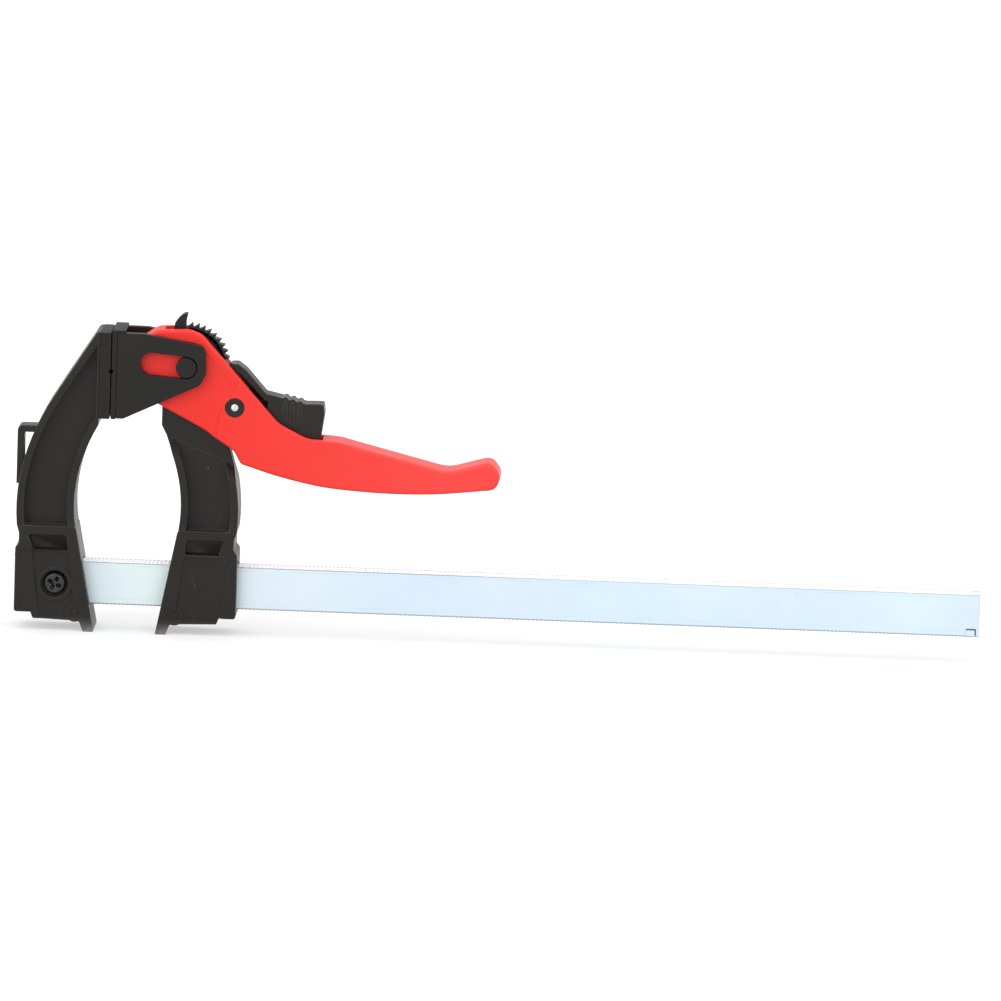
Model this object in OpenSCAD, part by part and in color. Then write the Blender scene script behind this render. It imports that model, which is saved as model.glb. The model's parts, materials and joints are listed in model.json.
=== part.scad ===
// Quick release bar clamp with a ratchet lever, closed, in millimetres.
// X runs along the bar, Z is up and Y is across. Shapes are drawn from the closed
// jaw faces (x = 0), the feet (z = 0) and the mid-plane (y = 0), and placed() then
// moves them so that the origin is the middle of the clamp's underside.

/* [Bar] */
// Height of the bar
bar_h = 17; // [15:0.5:20]
// Thickness of the bar
bar_t = 9.6; // [8:0.2:10.4]
// Bevel along the bar's edges
bar_bevel = 0.6; // [0.2:0.1:1]
// Height of the bar's lower edge above the feet
bar_lift = 10; // [9:0.5:13]
// Travel of the sliding jaw along the bar
slide_travel = 283; // [150:1:600]
// Length of the stop punched into the bar's end
stop_len = 3.4; // [2:0.2:6]
// Height of the stop
stop_h = 2.8; // [2:0.2:5]
// How far the stop stands out of the bar's side
stop_out = 0.8; // [0.5:0.1:1.2]
// Bar left beyond the stop
bar_tail = 1.6; // [1:0.2:6]

/* [Jaws] */
// Width of the jaws and housings across the bar
jaw_w = 21; // [20:0.5:26]
// Width of the arms
arm_w = 20; // [17:0.5:20]
// Thickness of the arms' web
web_t = 8.2; // [8.2:0.2:12]
// Thickness of the neck that carries the lever
neck_t = 8; // [7:0.2:8]
// Width of the rims along the arms' edges
rim = 3; // [2:0.2:4]
// Height of the clamping faces
jaw_h = 34; // [30:0.2:38]
// Clear height from the bar up to the jaws
throat_h = 57; // [50:1:80]
// Depth of the arms along the bar, at the narrowest
arm_d = 22.4; // [20:0.2:24]
// Gap between the closed faces
face_gap = 0.4; // [0.2:0.1:1]
// Thickness of the fixed jaw's pad
pad_t = 4.2; // [3.4:0.2:5]
// Thickness of the flange that the fixed pad grips
flange_t = 2.4; // [1.6:0.2:2.6]
// Depth of the groove across each pad
groove = 0.9; // [0.4:0.1:1.2]
// Height of the grooves above the jaws' lower edge
groove_rise = 18.7; // [12:0.1:22]
// Radial play of pins in their bores
fit = 0.05; // [0.02:0.01:0.1]
// Play of the bar in the housings
bar_fit = 0.25; // [0.1:0.05:0.4]

/* [Housings] */
// Fixed jaw face to the back of its housing
fixed_back = 35.3; // [34:0.1:38]
// Closed face to the back of the sliding housing
slide_back = 51; // [50:0.5:56]
// Housing top above the bar
house_rise = 14.2; // [13:0.2:18]
// Housing length along the bar, at its top
house_d = 23.3; // [22.5:0.1:25]
// Housing back to the tip of its foot
foot_d = 31.2; // [30:0.2:34]
// Thickness of the feet along the bar
foot_t = 4.1; // [3:0.1:6]
// Wall under the bar
floor_t = 5.4; // [5:0.1:7]
// Wall behind the bar's hidden end
end_wall = 1.3; // [1:0.1:3]
// Depth of the windows in the housings' sides
window_deep = 6.4; // [2:0.2:6.4]
// Depth of the panels in the housings' sides
panel_deep = 0.8; // [0.4:0.1:1.2]
// Width of the strap of the hanging loop
strap_w = 9; // [6:0.5:14]
// Thickness of the strap
strap_t = 2.6; // [2:0.1:3.2]

/* [Grip sleeves] */
// Radius of the hard sleeves that bite the bar
sleeve_r = 2.3; // [2:0.1:2.4]
// Radius of the axles that carry them
axle_r = 1.5; // [1.2:0.1:1.6]
// Gap round the sleeves
sleeve_gap = 0.3; // [0.2:0.05:0.4]

/* [Bar screw] */
// Radius of the screw's shank
screw_r = 2.5; // [2:0.1:3]
// Radius of the screw's head
head_r = 4.45; // [4:0.05:5]
// Height of the screw's head
head_h = 2.5; // [2:0.1:2.8]
// Radius of the counterbore
bore_r = 5.25; // [5.1:0.05:5.6]
// Outer radius of the ring round the counterbore
ring_r = 7; // [6.4:0.1:7.4]
// Width of the nut across its flats
nut_w = 8; // [7:0.2:9]
// Thickness of the nut
nut_t = 3.2; // [2.6:0.1:3.6]

/* [Pivot and ratchet] */
// Closed face to the lever's pivot
pivot_x = 29.3; // [28.5:0.1:31]
// Height of the pivot above the jaws' lower edge
pivot_rise = 21.1; // [19:0.1:23]
// Radius of the pivot pin
pivot_r = 3; // [2.4:0.1:3.4]
// Radius of the pin's head and collar
pivot_head_r = 4.05; // [3.8:0.05:4.2]
// Neck's front edge in front of the pivot
neck_front = 9.3; // [8.6:0.1:10]
// Radius of the neck's round head
neck_r = 11; // [10:0.2:12]
// Thickness of the toothed sector
sector_t = 4.8; // [4:0.1:5]
// Radius at the teeth's roots
root_r = 14.8; // [14.4:0.1:15.4]
// Radius at the teeth's tips
tip_r = 16.7; // [16.2:0.1:16.9]
// Angle from tooth to tooth
tooth_step = 9.1; // [7:0.1:11]
// Radius at the tip of the stop tooth
stop_r = 20.3; // [18.6:0.1:21]
// Radius of the rivets that hold the sector
rivet_r = 1.5; // [1:0.1:1.8]

/* [Pusher] */
// Width of the slots that the pivot pin slides in
slot_w = 8.7; // [8.5:0.05:9]
// Length of the slots
slot_l = 22.2; // [18:0.2:24]
// Slope of the slots, in degrees
slot_tilt = 5; // [0:0.5:8]
// Thickness of the pusher's cheeks
cheek_t = 3; // [2:0.1:3.2]
// Thickness of the moving pad
moving_pad_t = 2; // [1.4:0.1:2.4]
// Thickness of the pusher's front wall
wall_t = 2.4; // [2:0.1:2.6]
// Height of the moving pad's cap above the jaws
cap_h = 1; // [0.6:0.1:2]

/* [Lever] */
// Width of the lever's hub
hub_w = 14; // [13:0.1:14.4]
// Depth of the panels sunk into the hub's sides
hub_panel = 0.3; // [0.1:0.1:0.6]
// Width of the handle
grip_w = 16; // [15:0.5:20]
// Gap between the lever's cheeks at the hub
hub_gap = 8.4; // [8.2:0.1:9]
// Gap between the lever's sides under the thumb piece
grip_gap = 11; // [10.6:0.1:12]
// Travel of the cam for each radian of lever turn
cam_step = 6; // [4:0.1:6.4]
// Running gap between the cam and the pusher's wall
cam_gap = 0.3; // [0.2:0.05:0.5]
// Length of the lever from pivot to tip
lever_l = 122.7; // [110:0.5:150]
// Thickness of the floor of the lever's channel
lever_floor = 3; // [2:0.2:5]

/* [Release lever] */
// Radius of the release pin
release_r = 1.65; // [1.3:0.05:1.9]
// Outer radius of the bushes round it
bush_r = 3.75; // [3.2:0.05:4]
// Release pin behind the lever's pivot
release_x = 19.1; // [18.6:0.1:20]
// Release pin below the lever's pivot
release_z = 15.2; // [14.8:0.1:16]
// Width of the thumb piece
thumb_w = 9.6; // [8.6:0.1:10.2]
// Thickness of the release lever's web
release_t = 2.4; // [2:0.1:2.5]
// Height of the thumb ribs
rib_h = 0.6; // [0.3:0.1:1]
// Radius of the spring's wire
wire_r = 0.4; // [0.3:0.05:0.45]
// Turns of the spring
spring_turns = 2; // [2:1:2]

/* [Hidden] */
$fn = 48;
// Larger than any part, for cuts that run right out
far = 400;
// Press fit of pins, pads and bushes in what holds them
press = 0.02;

// Heights
bar_top = bar_lift + bar_h;
bar_mid = bar_lift + bar_h / 2;
house_top = bar_top + house_rise;
jaw_low = bar_top + throat_h;
jaw_top = jaw_low + jaw_h;
pivot_z = jaw_low + pivot_rise;

// The bar starts behind the fixed housing's end wall and ends past its stop
stop_gap = 0.5;
stop_x = slide_back + slide_travel + stop_gap;
bar_start = end_wall - fixed_back;
bar_end = stop_x + stop_len + bar_tail;

// Arms, as [distance from the housing's back, height]
pad_reach = fixed_back - pad_t;
neck_reach = slide_back - pivot_x + neck_front;
join_z = jaw_low - 2.6;
belly = 0.22;
back_bow = 9;
arm_steps = 12;
shoulder = jaw_low + 9.4;
waist = rise(0.17);
function rise(t) = house_top + t * (join_z - house_top);
function inner(t, reach) = [arm_d + (reach - arm_d) * pow((t - belly) / (1 - belly), 2), rise(t)];
function outer(z) = [back_bow * pow((z - waist) / (jaw_low - waist), 2), z];
function inner_edge(reach) = [for (k = [0:arm_steps]) inner(k / arm_steps, reach)];
function outer_edge(high) = [for (k = [0:arm_steps]) outer(high + (house_top - high) * k / arm_steps)];

// Housings
root_in = 1.5;
root_low = house_top - 4;
back_step = 3;
face = jaw_w / 2;
screw_at = [15.6, bar_mid];
screw_seat = face - 3.3;
upper_axle = [3.6, bar_top + sleeve_gap + sleeve_r];
lower_axle = [23.7, bar_lift - sleeve_gap - sleeve_r];
boss_r = axle_r + 2.2;
loop_out = 0.6;
loop_low = jaw_low - 27.5;
loop_high = jaw_low - 4.6;
loop_reach = 7.2;

// Pads and pusher
groove_z = jaw_low + groove_rise;
lip = 1.9;
stud_r = 1.5;
stud_l = 1.8;
wall_x = face_gap + moving_pad_t;
cam_reach = pivot_x - wall_x - wall_t - cam_gap;
cheek_end = pivot_x + 7.8;

// Neck, lever and release lever, from the pivot
pivot = [pivot_x, pivot_z];
neck_half = neck_t / 2;
fork_drop = 9.5;
rivet_at = [[-6.2, -4.4], [6.2, -4.4]];
first_tooth = 84.4;
stop_at = 93.7;
last_tooth = -20;
release_at = [release_x, -release_z];
hub_play = 0.3;
channel_end = 53.2;
bridge_r = 15.2;
bridge_from = 123;
bridge_to = 150;

// Outline through corners [x, z, radius], each rounded by its own radius
function rounded(c, n = 5) = [
    for (i = [0:len(c) - 1])
        each corner(c[(i + len(c) - 1) % len(c)], c[i], c[(i + 1) % len(c)], n)
];
function corner(a, b, c, n) =
    b[2] == 0 ? [two(b)] : fillet(two(b), unit(two(a) - two(b)), unit(two(c) - two(b)), b[2], n);
function two(p) = [p[0], p[1]];
function unit(v) = v / norm(v);
function fillet(b, u, v, r, n) =
    let (half = acos(u * v) / 2)
    let (centre = b + unit(u + v) * r / sin(half))
    let (first = b + u * r / tan(half) - centre)
    let (last = b + v * r / tan(half) - centre)
    let (start = atan2(first.y, first.x))
    let (turn = wrap(atan2(last.y, last.x) - start))
    [for (k = [0:n]) centre + polar(r, start + turn * k / n)];
function wrap(a) = a > 180 ? a - 360 : a < -180 ? a + 360 : a;
function polar(r, a) = r * [cos(a), sin(a)];
// Curve that runs d to the left of the curve p
function beside(p, d) = [
    for (i = [0:len(p) - 1])
        let (t = unit(p[min(i + 1, len(p) - 1)] - p[max(i - 1, 0)]))
        p[i] + d * [-t.y, t.x]
];

// Moves the jaw frame to the middle of the underside
module placed() translate([-(bar_end - fixed_back - loop_out) / 2, 0, 0]) children();
// Housing frames, measured from each housing's back towards the other jaw
module at_fixed() placed() translate([-fixed_back, 0, 0]) children();
module at_slide() placed() translate([slide_back, 0, 0]) mirror([1, 0, 0]) children();
// The lever's frame, with the pivot at its origin
module at_pivot() placed() translate([pivot_x, 0, pivot_z]) children();
// Slab w wide across Y with the X-Z outline p
module slab(p, w) rotate([90, 0, 0]) linear_extrude(w, center = true) polygon(p);
// Round bar of radius r along Y from y0 to y1, at the X-Z place p
module across(p, r, y0, y1) translate([p.x, y0, p.y]) rotate([-90, 0, 0]) cylinder(h = y1 - y0, r = r);
module both_sides() {
    children();
    mirror([0, 1, 0]) children();
}
// Box given by its corners
module box(a, b) translate(a) cube(b - a);

module bar() color("lightsteelblue") placed() {
    half = bar_t / 2;
    in = half - bar_bevel;
    section = [
        [-half, bar_lift + bar_bevel], [-in, bar_lift], [in, bar_lift], [half, bar_lift + bar_bevel],
        [half, bar_top - bar_bevel], [in, bar_top], [-in, bar_top], [-half, bar_top - bar_bevel]
    ];
    difference() {
        union() {
            translate([bar_start, 0, 0]) rotate([90, 0, 90])
                linear_extrude(bar_end - bar_start) polygon(section);
            box([stop_x, -half - stop_out, bar_lift], [stop_x + stop_len, 0, bar_lift + stop_h]);
        }
        across([screw_at.x - fixed_back, bar_mid], screw_r + press, -half - 1, half + 1);
    }
}

// Outline of a housing round the bar, with its foot
function housing_outline() = rounded([
    [0, bar_lift - back_step, 1],
    [6.5, bar_lift - back_step, 0.4],
    [7.4, bar_lift - floor_t, 0.6],
    [foot_d - foot_t - 1.6, bar_lift - floor_t - 0.6, 1],
    [foot_d - foot_t, 0, 0.4],
    [foot_d, 0, 0.4],
    [house_d, house_top, 1.4],
    [1.2, house_top, 1.6],
    [1.4, bar_top + 7, 0.8],
    [0, bar_top + 5.2, 1]
], 3);

module housing_block() {
    slab(housing_outline(), jaw_w);
    for (p = [upper_axle, lower_axle]) across(p, boss_r, -face, face);
}

// Window and panel sunk into both sides of a housing
module housing_sides(panel_back, ring) both_sides() {
    window = rounded([
        [5.2, house_top - 3.6, 0.5], [7.2, bar_top + 4.8, 0.5],
        [20.4, bar_top + 4.8, 0.5], [19.6, house_top - 3.6, 0.5]
    ], 2);
    panel = [
        [panel_back, bar_top + 4.2], [panel_back + 4, -1],
        [24.8, -1], [20.5, bar_top + 4.2]
    ];
    translate([0, face + 1 - window_deep / 2, 0]) slab(window, window_deep + 2);
    difference() {
        translate([0, face + 1, 0]) slab(panel, 2 * panel_deep + 2);
        across(lower_axle, boss_r, 0, face);
        across(screw_at, ring, 0, face);
    }
}

module housing_bores(channel_from) {
    half = bar_t / 2 + bar_fit;
    box([channel_from, -half, bar_lift - bar_fit], [far, half, bar_top + bar_fit]);
    for (p = [upper_axle, lower_axle]) {
        across(p, sleeve_r + sleeve_gap, -half, half);
        across(p, axle_r + press, -far, far);
    }
}

// Axles and sleeves, in a housing's frame
module axle_pair() for (p = [upper_axle, lower_axle]) across(p, axle_r, -face, face);
module sleeve_pair() for (p = [upper_axle, lower_axle]) difference() {
    across(p, sleeve_r, -bar_t / 2, bar_t / 2);
    across(p, axle_r + press, -far, far);
}

// Hollows between the rims, down to the web
module rim_hollows(p) both_sides() translate([0, (web_t + far) / 2, 0]) slab(p, far);

module hanging_loop() slab(rounded([
    [-loop_out, loop_low, 0], [strap_t - loop_out, loop_low, 0],
    [strap_t - loop_out, loop_high - strap_t, 0.6], [loop_reach, loop_high - strap_t, 0],
    [loop_reach, loop_high, 0], [-loop_out, loop_high, 2]
]), strap_w);

module fixed_arm() color([0.16, 0.16, 0.16]) at_fixed() {
    top_in = [pad_reach - 1.3, jaw_top];
    throat_edge = inner_edge(pad_reach);
    back_edge = outer_edge(shoulder);
    seat_wall = 1.2;
    // The hollow's point, where its sloping edge meets the wall behind the pad
    slope = unit(top_in - back_edge[0]);
    low = back_edge[0] + rim * [slope.y, -slope.x];
    hollow_x = pad_reach - seat_wall;
    tip = [hollow_x, low.y + (hollow_x - low.x) * slope.y / slope.x];
    difference() {
        union() {
            difference() {
                slab(concat(
                    [[house_d - root_in, root_low]], throat_edge,
                    [[pad_reach, jaw_top], top_in], back_edge, [[root_in, root_low]]
                ), arm_w);
                rim_hollows(concat(
                    beside(throat_edge, rim), [[hollow_x, join_z + 3], tip, low],
                    [for (k = [1:arm_steps]) beside(back_edge, rim)[k]]
                ));
            }
            hanging_loop();
            housing_block();
            // Flange that the pad grips
            box(
                [pad_reach - 1, lip - face, jaw_low + lip],
                [pad_reach + flange_t, face - lip, jaw_top - lip]
            );
        }
        housing_sides(6.6, ring_r);
        housing_bores(end_wall);
        across(screw_at, screw_r + press, -far, far);
        across(screw_at, bore_r, -far, -screw_seat);
        translate([screw_at.x, screw_seat, screw_at.y]) rotate([-90, 0, 0])
            cylinder(h = far, r = (nut_w / 2 + press) / cos(30), $fn = 6);
    }
}

module fixed_pad() color([0.2, 0.2, 0.2]) placed() difference() {
    box([-pad_t, -face, jaw_low], [0, face, jaw_top]);
    box(
        [-far, lip - face - press, jaw_low + lip - press],
        [flange_t - pad_t + press, face - lip + press, jaw_top - lip + press]
    );
    pad_groove(0, -1);
}

// V groove across a pad's face at x, cut towards side
module pad_groove(x, side) slab([
    [x + side * groove, groove_z], [x - side, groove_z + groove + 1], [x - side, groove_z - groove - 1]
], far);

module fixed_axles() color("silver") at_fixed() axle_pair();
module fixed_sleeves() color("gray") at_fixed() sleeve_pair();
module slide_axles() color("silver") at_slide() axle_pair();
module slide_sleeves() color("gray") at_slide() sleeve_pair();

// Pan head screw with a cross recess
module bar_screw() color("silver") at_fixed() difference() {
    union() {
        across(screw_at, screw_r, -screw_seat, face - 0.2);
        translate([screw_at.x, -screw_seat, screw_at.y]) rotate([90, 0, 0]) rotate_extrude()
            polygon([[0, 0], [head_r, 0], [head_r, head_h * 0.5], [head_r * 0.7, head_h], [0, head_h]]);
    }
    for (turn = [30, 120]) translate([screw_at.x, -screw_seat - head_h, screw_at.y])
        rotate([0, turn, 0]) cube([head_r * 1.1, head_h * 1.2, screw_r * 0.45], center = true);
}

module bar_nut() color("silver") at_fixed() difference() {
    translate([screw_at.x, screw_seat, screw_at.y]) rotate([-90, 0, 0])
        cylinder(h = nut_t, r = nut_w / 2 / cos(30), $fn = 6);
    across(screw_at, screw_r + press, 0, far);
}

// Cut that thins the sliding arm to the neck, between the lever's cheeks
module neck_taper() {
    taper_drop = 30.5;
    taper_l = 5;
    taper_turn = 22;
    both_sides() translate([slide_back - pivot_x, 0, pivot_z - taper_drop]) rotate([0, -taper_turn, 0])
        translate([-far / 2, 0, 0]) rotate([90, 0, 90]) linear_extrude(far) polygon([
            [neck_half, 0], [arm_w / 2, -taper_l], [far, -taper_l], [far, far], [neck_half, far]
        ]);
}

module sliding_arm() color([0.16, 0.16, 0.16]) at_slide() {
    hub = [slide_back - pivot_x, pivot_z];
    throat_edge = inner_edge(neck_reach);
    neck_low = jaw_low + 6;
    back_edge = outer_edge(neck_low);
    difference() {
        union() {
            difference() {
                union() {
                    slab(concat(
                        [[house_d - root_in, root_low]], throat_edge,
                        [[neck_reach, pivot_z], [hub.x - neck_r, pivot_z]],
                        back_edge, [[root_in, root_low]]
                    ), arm_w);
                    across(hub, neck_r, -arm_w / 2, arm_w / 2);
                }
                rim_hollows(concat(beside(throat_edge, rim), beside(back_edge, rim)));
                neck_taper();
            }
            housing_block();
        }
        housing_sides(3, 0.1);
        housing_bores(-1);
        // Fork that the sector sits in
        box([-far, -sector_t / 2 - press, pivot_z - fork_drop], [far, sector_t / 2 + press, far]);
        across(hub, pivot_r + press, -far, far);
        for (p = rivet_at) across([hub.x - p.x, hub.y + p.y], rivet_r + press, -far, far);
    }
}

// Saw teeth, steep on the side that faces clockwise, with a tall hooked stop tooth first
module ratchet_sector() color([0.2, 0.2, 0.21]) at_pivot() {
    valley = 1.4;
    hollow_at = 3.6;
    teeth = floor((first_tooth - last_tooth) / tooth_step);
    toothed = [
        for (k = [0:teeth])
            let (a = first_tooth - k * tooth_step)
            each [
                polar((tip_r + root_r) / 2, a + hollow_at), polar(tip_r, a), polar(root_r, a - valley)
            ]
    ];
    // [below the stop's tip, degrees before its steep side]
    hook = [[3.2, 14.4], [1.6, 8.4], [0.5, 3.4], [0, 0.2], [0.1, -3], [1.4, -2.3], [2.6, -1]];
    difference() {
        slab(concat(
            [[neck_r, -fork_drop + 2], [neck_r - 2, -fork_drop], [1 - neck_front, -fork_drop]],
            [[1 - neck_front, -3], polar(neck_r, 150), polar(bridge_r - 1, 126), polar(root_r, 113)],
            [for (h = hook) polar(stop_r - h[0], stop_at + h[1])],
            [polar(root_r, stop_at), polar(root_r, first_tooth + tooth_step - valley)], toothed,
            [polar(root_r, last_tooth - 8)]
        ), sector_t);
        across([0, 0], pivot_r + press, -far, far);
        for (p = rivet_at) across(p, rivet_r + press, -far, far);
    }
}

module sector_rivets() color("gray") at_pivot() for (p = rivet_at)
    across(p, rivet_r, -neck_half, neck_half);

head_in = hub_w / 2 + 0.2;
head_out = face - 0.1;

module pivot_pin() color([0.25, 0.25, 0.25]) at_pivot() {
    across([0, 0], pivot_r, -head_in, head_out);
    across([0, 0], pivot_head_r, -head_out, -head_in);
}

module pivot_collar() color([0.25, 0.25, 0.25]) at_pivot() difference() {
    across([0, 0], pivot_head_r, head_in, head_out);
    across([0, 0], pivot_r + press, 0, far);
}

module pusher() color([0.14, 0.15, 0.15]) placed() {
    cheeks = rounded([
        [wall_x, jaw_low + 0.3, 0.3],
        [wall_x + 2.9, jaw_low + 0.3, 1.4],
        [cheek_end - 2.2, pivot_z - slot_w / 2 - 2.2, 4],
        [cheek_end, pivot_z - 2, 3],
        [cheek_end - 0.6, pivot_z + slot_w / 2 + 4.4, 3.5],
        [wall_x + 10.5, jaw_top, 8],
        [wall_x, jaw_top, 0.3]
    ]);
    difference() {
        union() {
            slab(cheeks, jaw_w);
            box([wall_x, -face, jaw_low + 0.3], [wall_x + wall_t, face, jaw_top]);
        }
        box([wall_x + wall_t, cheek_t - face, 0], [far, face - cheek_t, far]);
        translate([pivot_x, 0, pivot_z]) rotate([0, slot_tilt, 0]) pivot_slot();
        for (p = stud_at()) along_x([wall_x - 1, 0, p], stud_r + press, wall_t + 2);
    }
}

module pivot_slot() {
    run = slot_l - slot_w;
    across([0, 0], slot_w / 2, -far, far);
    across([-run, 0], slot_w / 2, -far, far);
    box([-run, -far, -slot_w / 2], [0, far, slot_w / 2]);
}

function stud_at() = [jaw_low + 7, jaw_top - 7];
module along_x(p, r, l) translate(p) rotate([0, 90, 0]) cylinder(h = l, r = r);

module moving_pad() color([0.2, 0.2, 0.2]) placed() difference() {
    union() {
        box([face_gap, -face, jaw_low], [wall_x, face, jaw_top + cap_h]);
        box([face_gap, -face, jaw_top], [wall_x + wall_t + 0.8, face, jaw_top + cap_h]);
        for (p = stud_at()) along_x([wall_x - 0.5, 0, p], stud_r, stud_l + 0.5);
    }
    pad_groove(face_gap, 1);
}

// The cam: an involute, so that each degree of turn moves the pusher equally far
function cam(a) =
    let (reach = cam_reach - cam_step * a * PI / 180)
    [-reach * cos(a) - cam_step * sin(a), reach * sin(a) - cam_step * cos(a)];
cam_turn = 58;
cam_steps = 8;

// The handle's lower edge, from its heel behind the neck to its belly
heel = [22, -37.5];
palm = [32, -39.9];
belly_near = [54, -44.4];
belly_far = [86, -47.4];
// Its upper edge, from behind the thumb piece to the dip before the tip
saddle = [36.2, -20.9];
hollow = [47.5, -26.6];
crest = [60, -27.3];
dip = [lever_l - 20.5, -37.6];
// Its tip
tip_low = [lever_l - 1.6, -44.1];
tip_end = [lever_l + 0.5, -38.5];
tip_high = [lever_l - 3.6, -32.7];
tip_round = 4;
long_round = 60;

function lever_outline() = rounded(concat(
    [for (k = [0:cam_steps]) let (p = cam(cam_turn * (1 - k / cam_steps))) [p.x, p.y, 0]],
    [
        [-22.5, -12, 3],
        [-12.6, -14.2, 5],
        [6, -23.8, 40],
        [19.2, -32.3, 6],
        [heel.x, heel.y, 3.2],
        [palm.x, palm.y, 20],
        [belly_near.x, belly_near.y, long_round],
        [belly_far.x, belly_far.y, long_round],
        [tip_low.x, tip_low.y, tip_round],
        [tip_end.x, tip_end.y, tip_round],
        [tip_high.x, tip_high.y, tip_round],
        [dip.x, dip.y, 14],
        [crest.x, crest.y, 30],
        [hollow.x, hollow.y, 14],
        [saddle.x, saddle.y, 14],
        [5.6, 12.8, 7],
        [0.6, 14.6, 8],
        [-11.4, 14, 4]
    ]
));

module lever() color([0.93, 0.2, 0.22]) at_pivot() {
    // Where the handle's sides step out from the hub's flat sides
    flare = [
        [24, 0], [19.2, -7.6], [17.6, -10.6], [14.6, -14.8], [13.4, -18], [12.4, -25],
        [11.6, -60], [lever_l + 20, -60], [lever_l + 20, 0]
    ];
    panel = rounded([
        [-18, -8.5, 3], [9.2, -22.7, 2.2], [11.4, -18, 4], [14.4, -12.6, 6], [18.6, -6, 1.4],
        [4.2, 9.4, 5], [-9, 11, 4], [-19, 6, 4]
    ]);
    hub_channel = [
        [-60, -60], [20.2, -60], [20.2, -31.6], [25, lever_floor - 38.4], [25, 60], [-60, 60]
    ];
    grip_channel = rounded([
        [24.4, 10, 0], [24.4, lever_floor - 38.2, 1],
        [channel_end, lever_floor - 44.2, 2], [channel_end, 10, 0]
    ]);
    bridge = concat(
        [for (a = [bridge_to:-9:bridge_from]) polar(bridge_r, a)],
        [polar(40, bridge_from), polar(40, bridge_to)]
    );
    difference() {
        union() {
            slab(lever_outline(), hub_w);
            intersection() {
                slab(lever_outline(), grip_w);
                slab(flare, grip_w);
            }
        }
        difference() {
            slab(hub_channel, hub_gap);
            slab(bridge, hub_gap);
        }
        slab(grip_channel, grip_gap);
        both_sides() translate([0, (hub_w + far) / 2 - hub_panel, 0]) slab(panel, far);
        across([0, 0], pivot_r + fit, -far, far);
        across(release_at, bush_r + press, -far, far);
    }
}

module release_pin() color("silver") at_pivot()
    across(release_at, release_r, -grip_w / 2 - 0.4, grip_w / 2 + 0.4);

module release_bushes() color([0.12, 0.12, 0.12]) at_pivot() both_sides() difference() {
    across(release_at, bush_r, hub_gap / 2 + 0.1, grip_w / 2 + 0.2);
    across(release_at, release_r + press, 0, far);
}

// Clear of the tooth tips while the lever turns
pawl_r = tip_r + 0.3;
flange_deep = 2.2;
hub_out = hub_gap / 2 - hub_play;
coil_side = 1;
rib_r = 1.2;
// The thumb piece's top slopes down from its front corner, and its back hangs over the handle
thumb_front = [34, -10.4];
thumb_rear = [46.4, -13.3];
thumb_lip = [53.5, -13.1];
thumb_back = [53.9, -17];
thumb_heel = [52.4, -27.8];
thumb_low = [48, -30.2];
thumb_root = [31.6, -23];
// The flange runs down from the pawl's tip to the thumb piece
pawl_tip = [19.8, 1.5];
flange_bend = [23.2, -1];
flange_foot = [31, -9.8];
function rib_at(x) =
    [x, thumb_front.y + (x - thumb_front.x) * (thumb_rear.y - thumb_front.y) / (thumb_rear.x - thumb_front.x)
        + rib_h - rib_r];

module release_lever() color([0.15, 0.15, 0.15]) at_pivot() {
    pawl = concat(
        [for (a = [-26, -16, -6, 4, 5.2]) polar(pawl_r, a)],
        [[19.4, 1.4], [21.2, -4], [21, -9], [release_x + 3.4, -release_z], [release_x - 2.8, -release_z]]
    );
    web = [
        [pawl_tip.x - 1.4, 1], [release_x, -release_z], [thumb_root.x + 1.4, thumb_root.y + 1],
        [thumb_front.x - 1, thumb_front.y - 1.2], flange_foot - [0.4, 0.8],
        flange_bend + [1.4, -3], flange_bend - [1.2, 0]
    ];
    flange = rounded([
        [pawl_tip.x - 1.8, pawl_tip.y, 0], [pawl_tip.x - 1.6, pawl_tip.y - flange_deep, 0],
        [flange_bend.x - 1.6, flange_bend.y + 0.2 - flange_deep, 2],
        [flange_foot.x - 0.4, flange_foot.y - 0.6 - flange_deep, 0],
        [thumb_front.x, thumb_front.y - 0.2 - flange_deep, 0], [thumb_front.x, thumb_front.y, 0],
        [flange_foot.x, flange_foot.y, 2], [flange_bend.x, flange_bend.y, 4], [pawl_tip.x, pawl_tip.y, 1]
    ]);
    thumb = rounded([
        [thumb_root.x, thumb_front.y + 0.4, 1], [thumb_root.x, thumb_root.y, 3],
        [thumb_low.x, thumb_low.y, 3], [thumb_heel.x, thumb_heel.y, 1.2],
        [thumb_back.x, thumb_back.y, 6], [thumb_lip.x, thumb_lip.y, 1.2],
        [thumb_rear.x, thumb_rear.y, 2], [thumb_front.x, thumb_front.y, 2]
    ]);
    difference() {
        union() {
            slab(pawl, 2 * hub_out);
            slab(web, release_t);
            slab(flange, thumb_w);
            slab(thumb, thumb_w);
            across(release_at, bush_r, -hub_out, hub_out);
            for (k = [0:2]) across(rib_at(38.5 + 2.85 * k), rib_r, -thumb_w / 2, thumb_w / 2);
        }
        across(release_at, release_r + fit, -far, far);
        // Room for the spring beside the hub
        across(release_at, bush_r + 0.7, coil_side, far);
    }
}

// Torsion spring round the release pin: one leg on the lever's floor, one under the flange
coil_r = 3.2;
coil_from = 3.5;
coil_to = 1.8;
leg_turn = 45;
coil_turn = 360 * spring_turns - 90 + leg_turn;
leg_l = 8.9;
spring_path = concat(
    [[release_x + coil_r, coil_from, lever_floor - 35.8]],
    [
        for (a = [0:15:coil_turn])
            let (p = release_at + polar(coil_r, a))
            [p.x, coil_from + (coil_to - coil_from) * a / coil_turn, p.y]
    ],
    [let (p = release_at + polar(coil_r, coil_turn) + polar(leg_l, coil_turn + 90)) [p.x, coil_to, p.y]]
);

module release_spring() color("silver") at_pivot() tube(spring_path, wire_r, 8);

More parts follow.
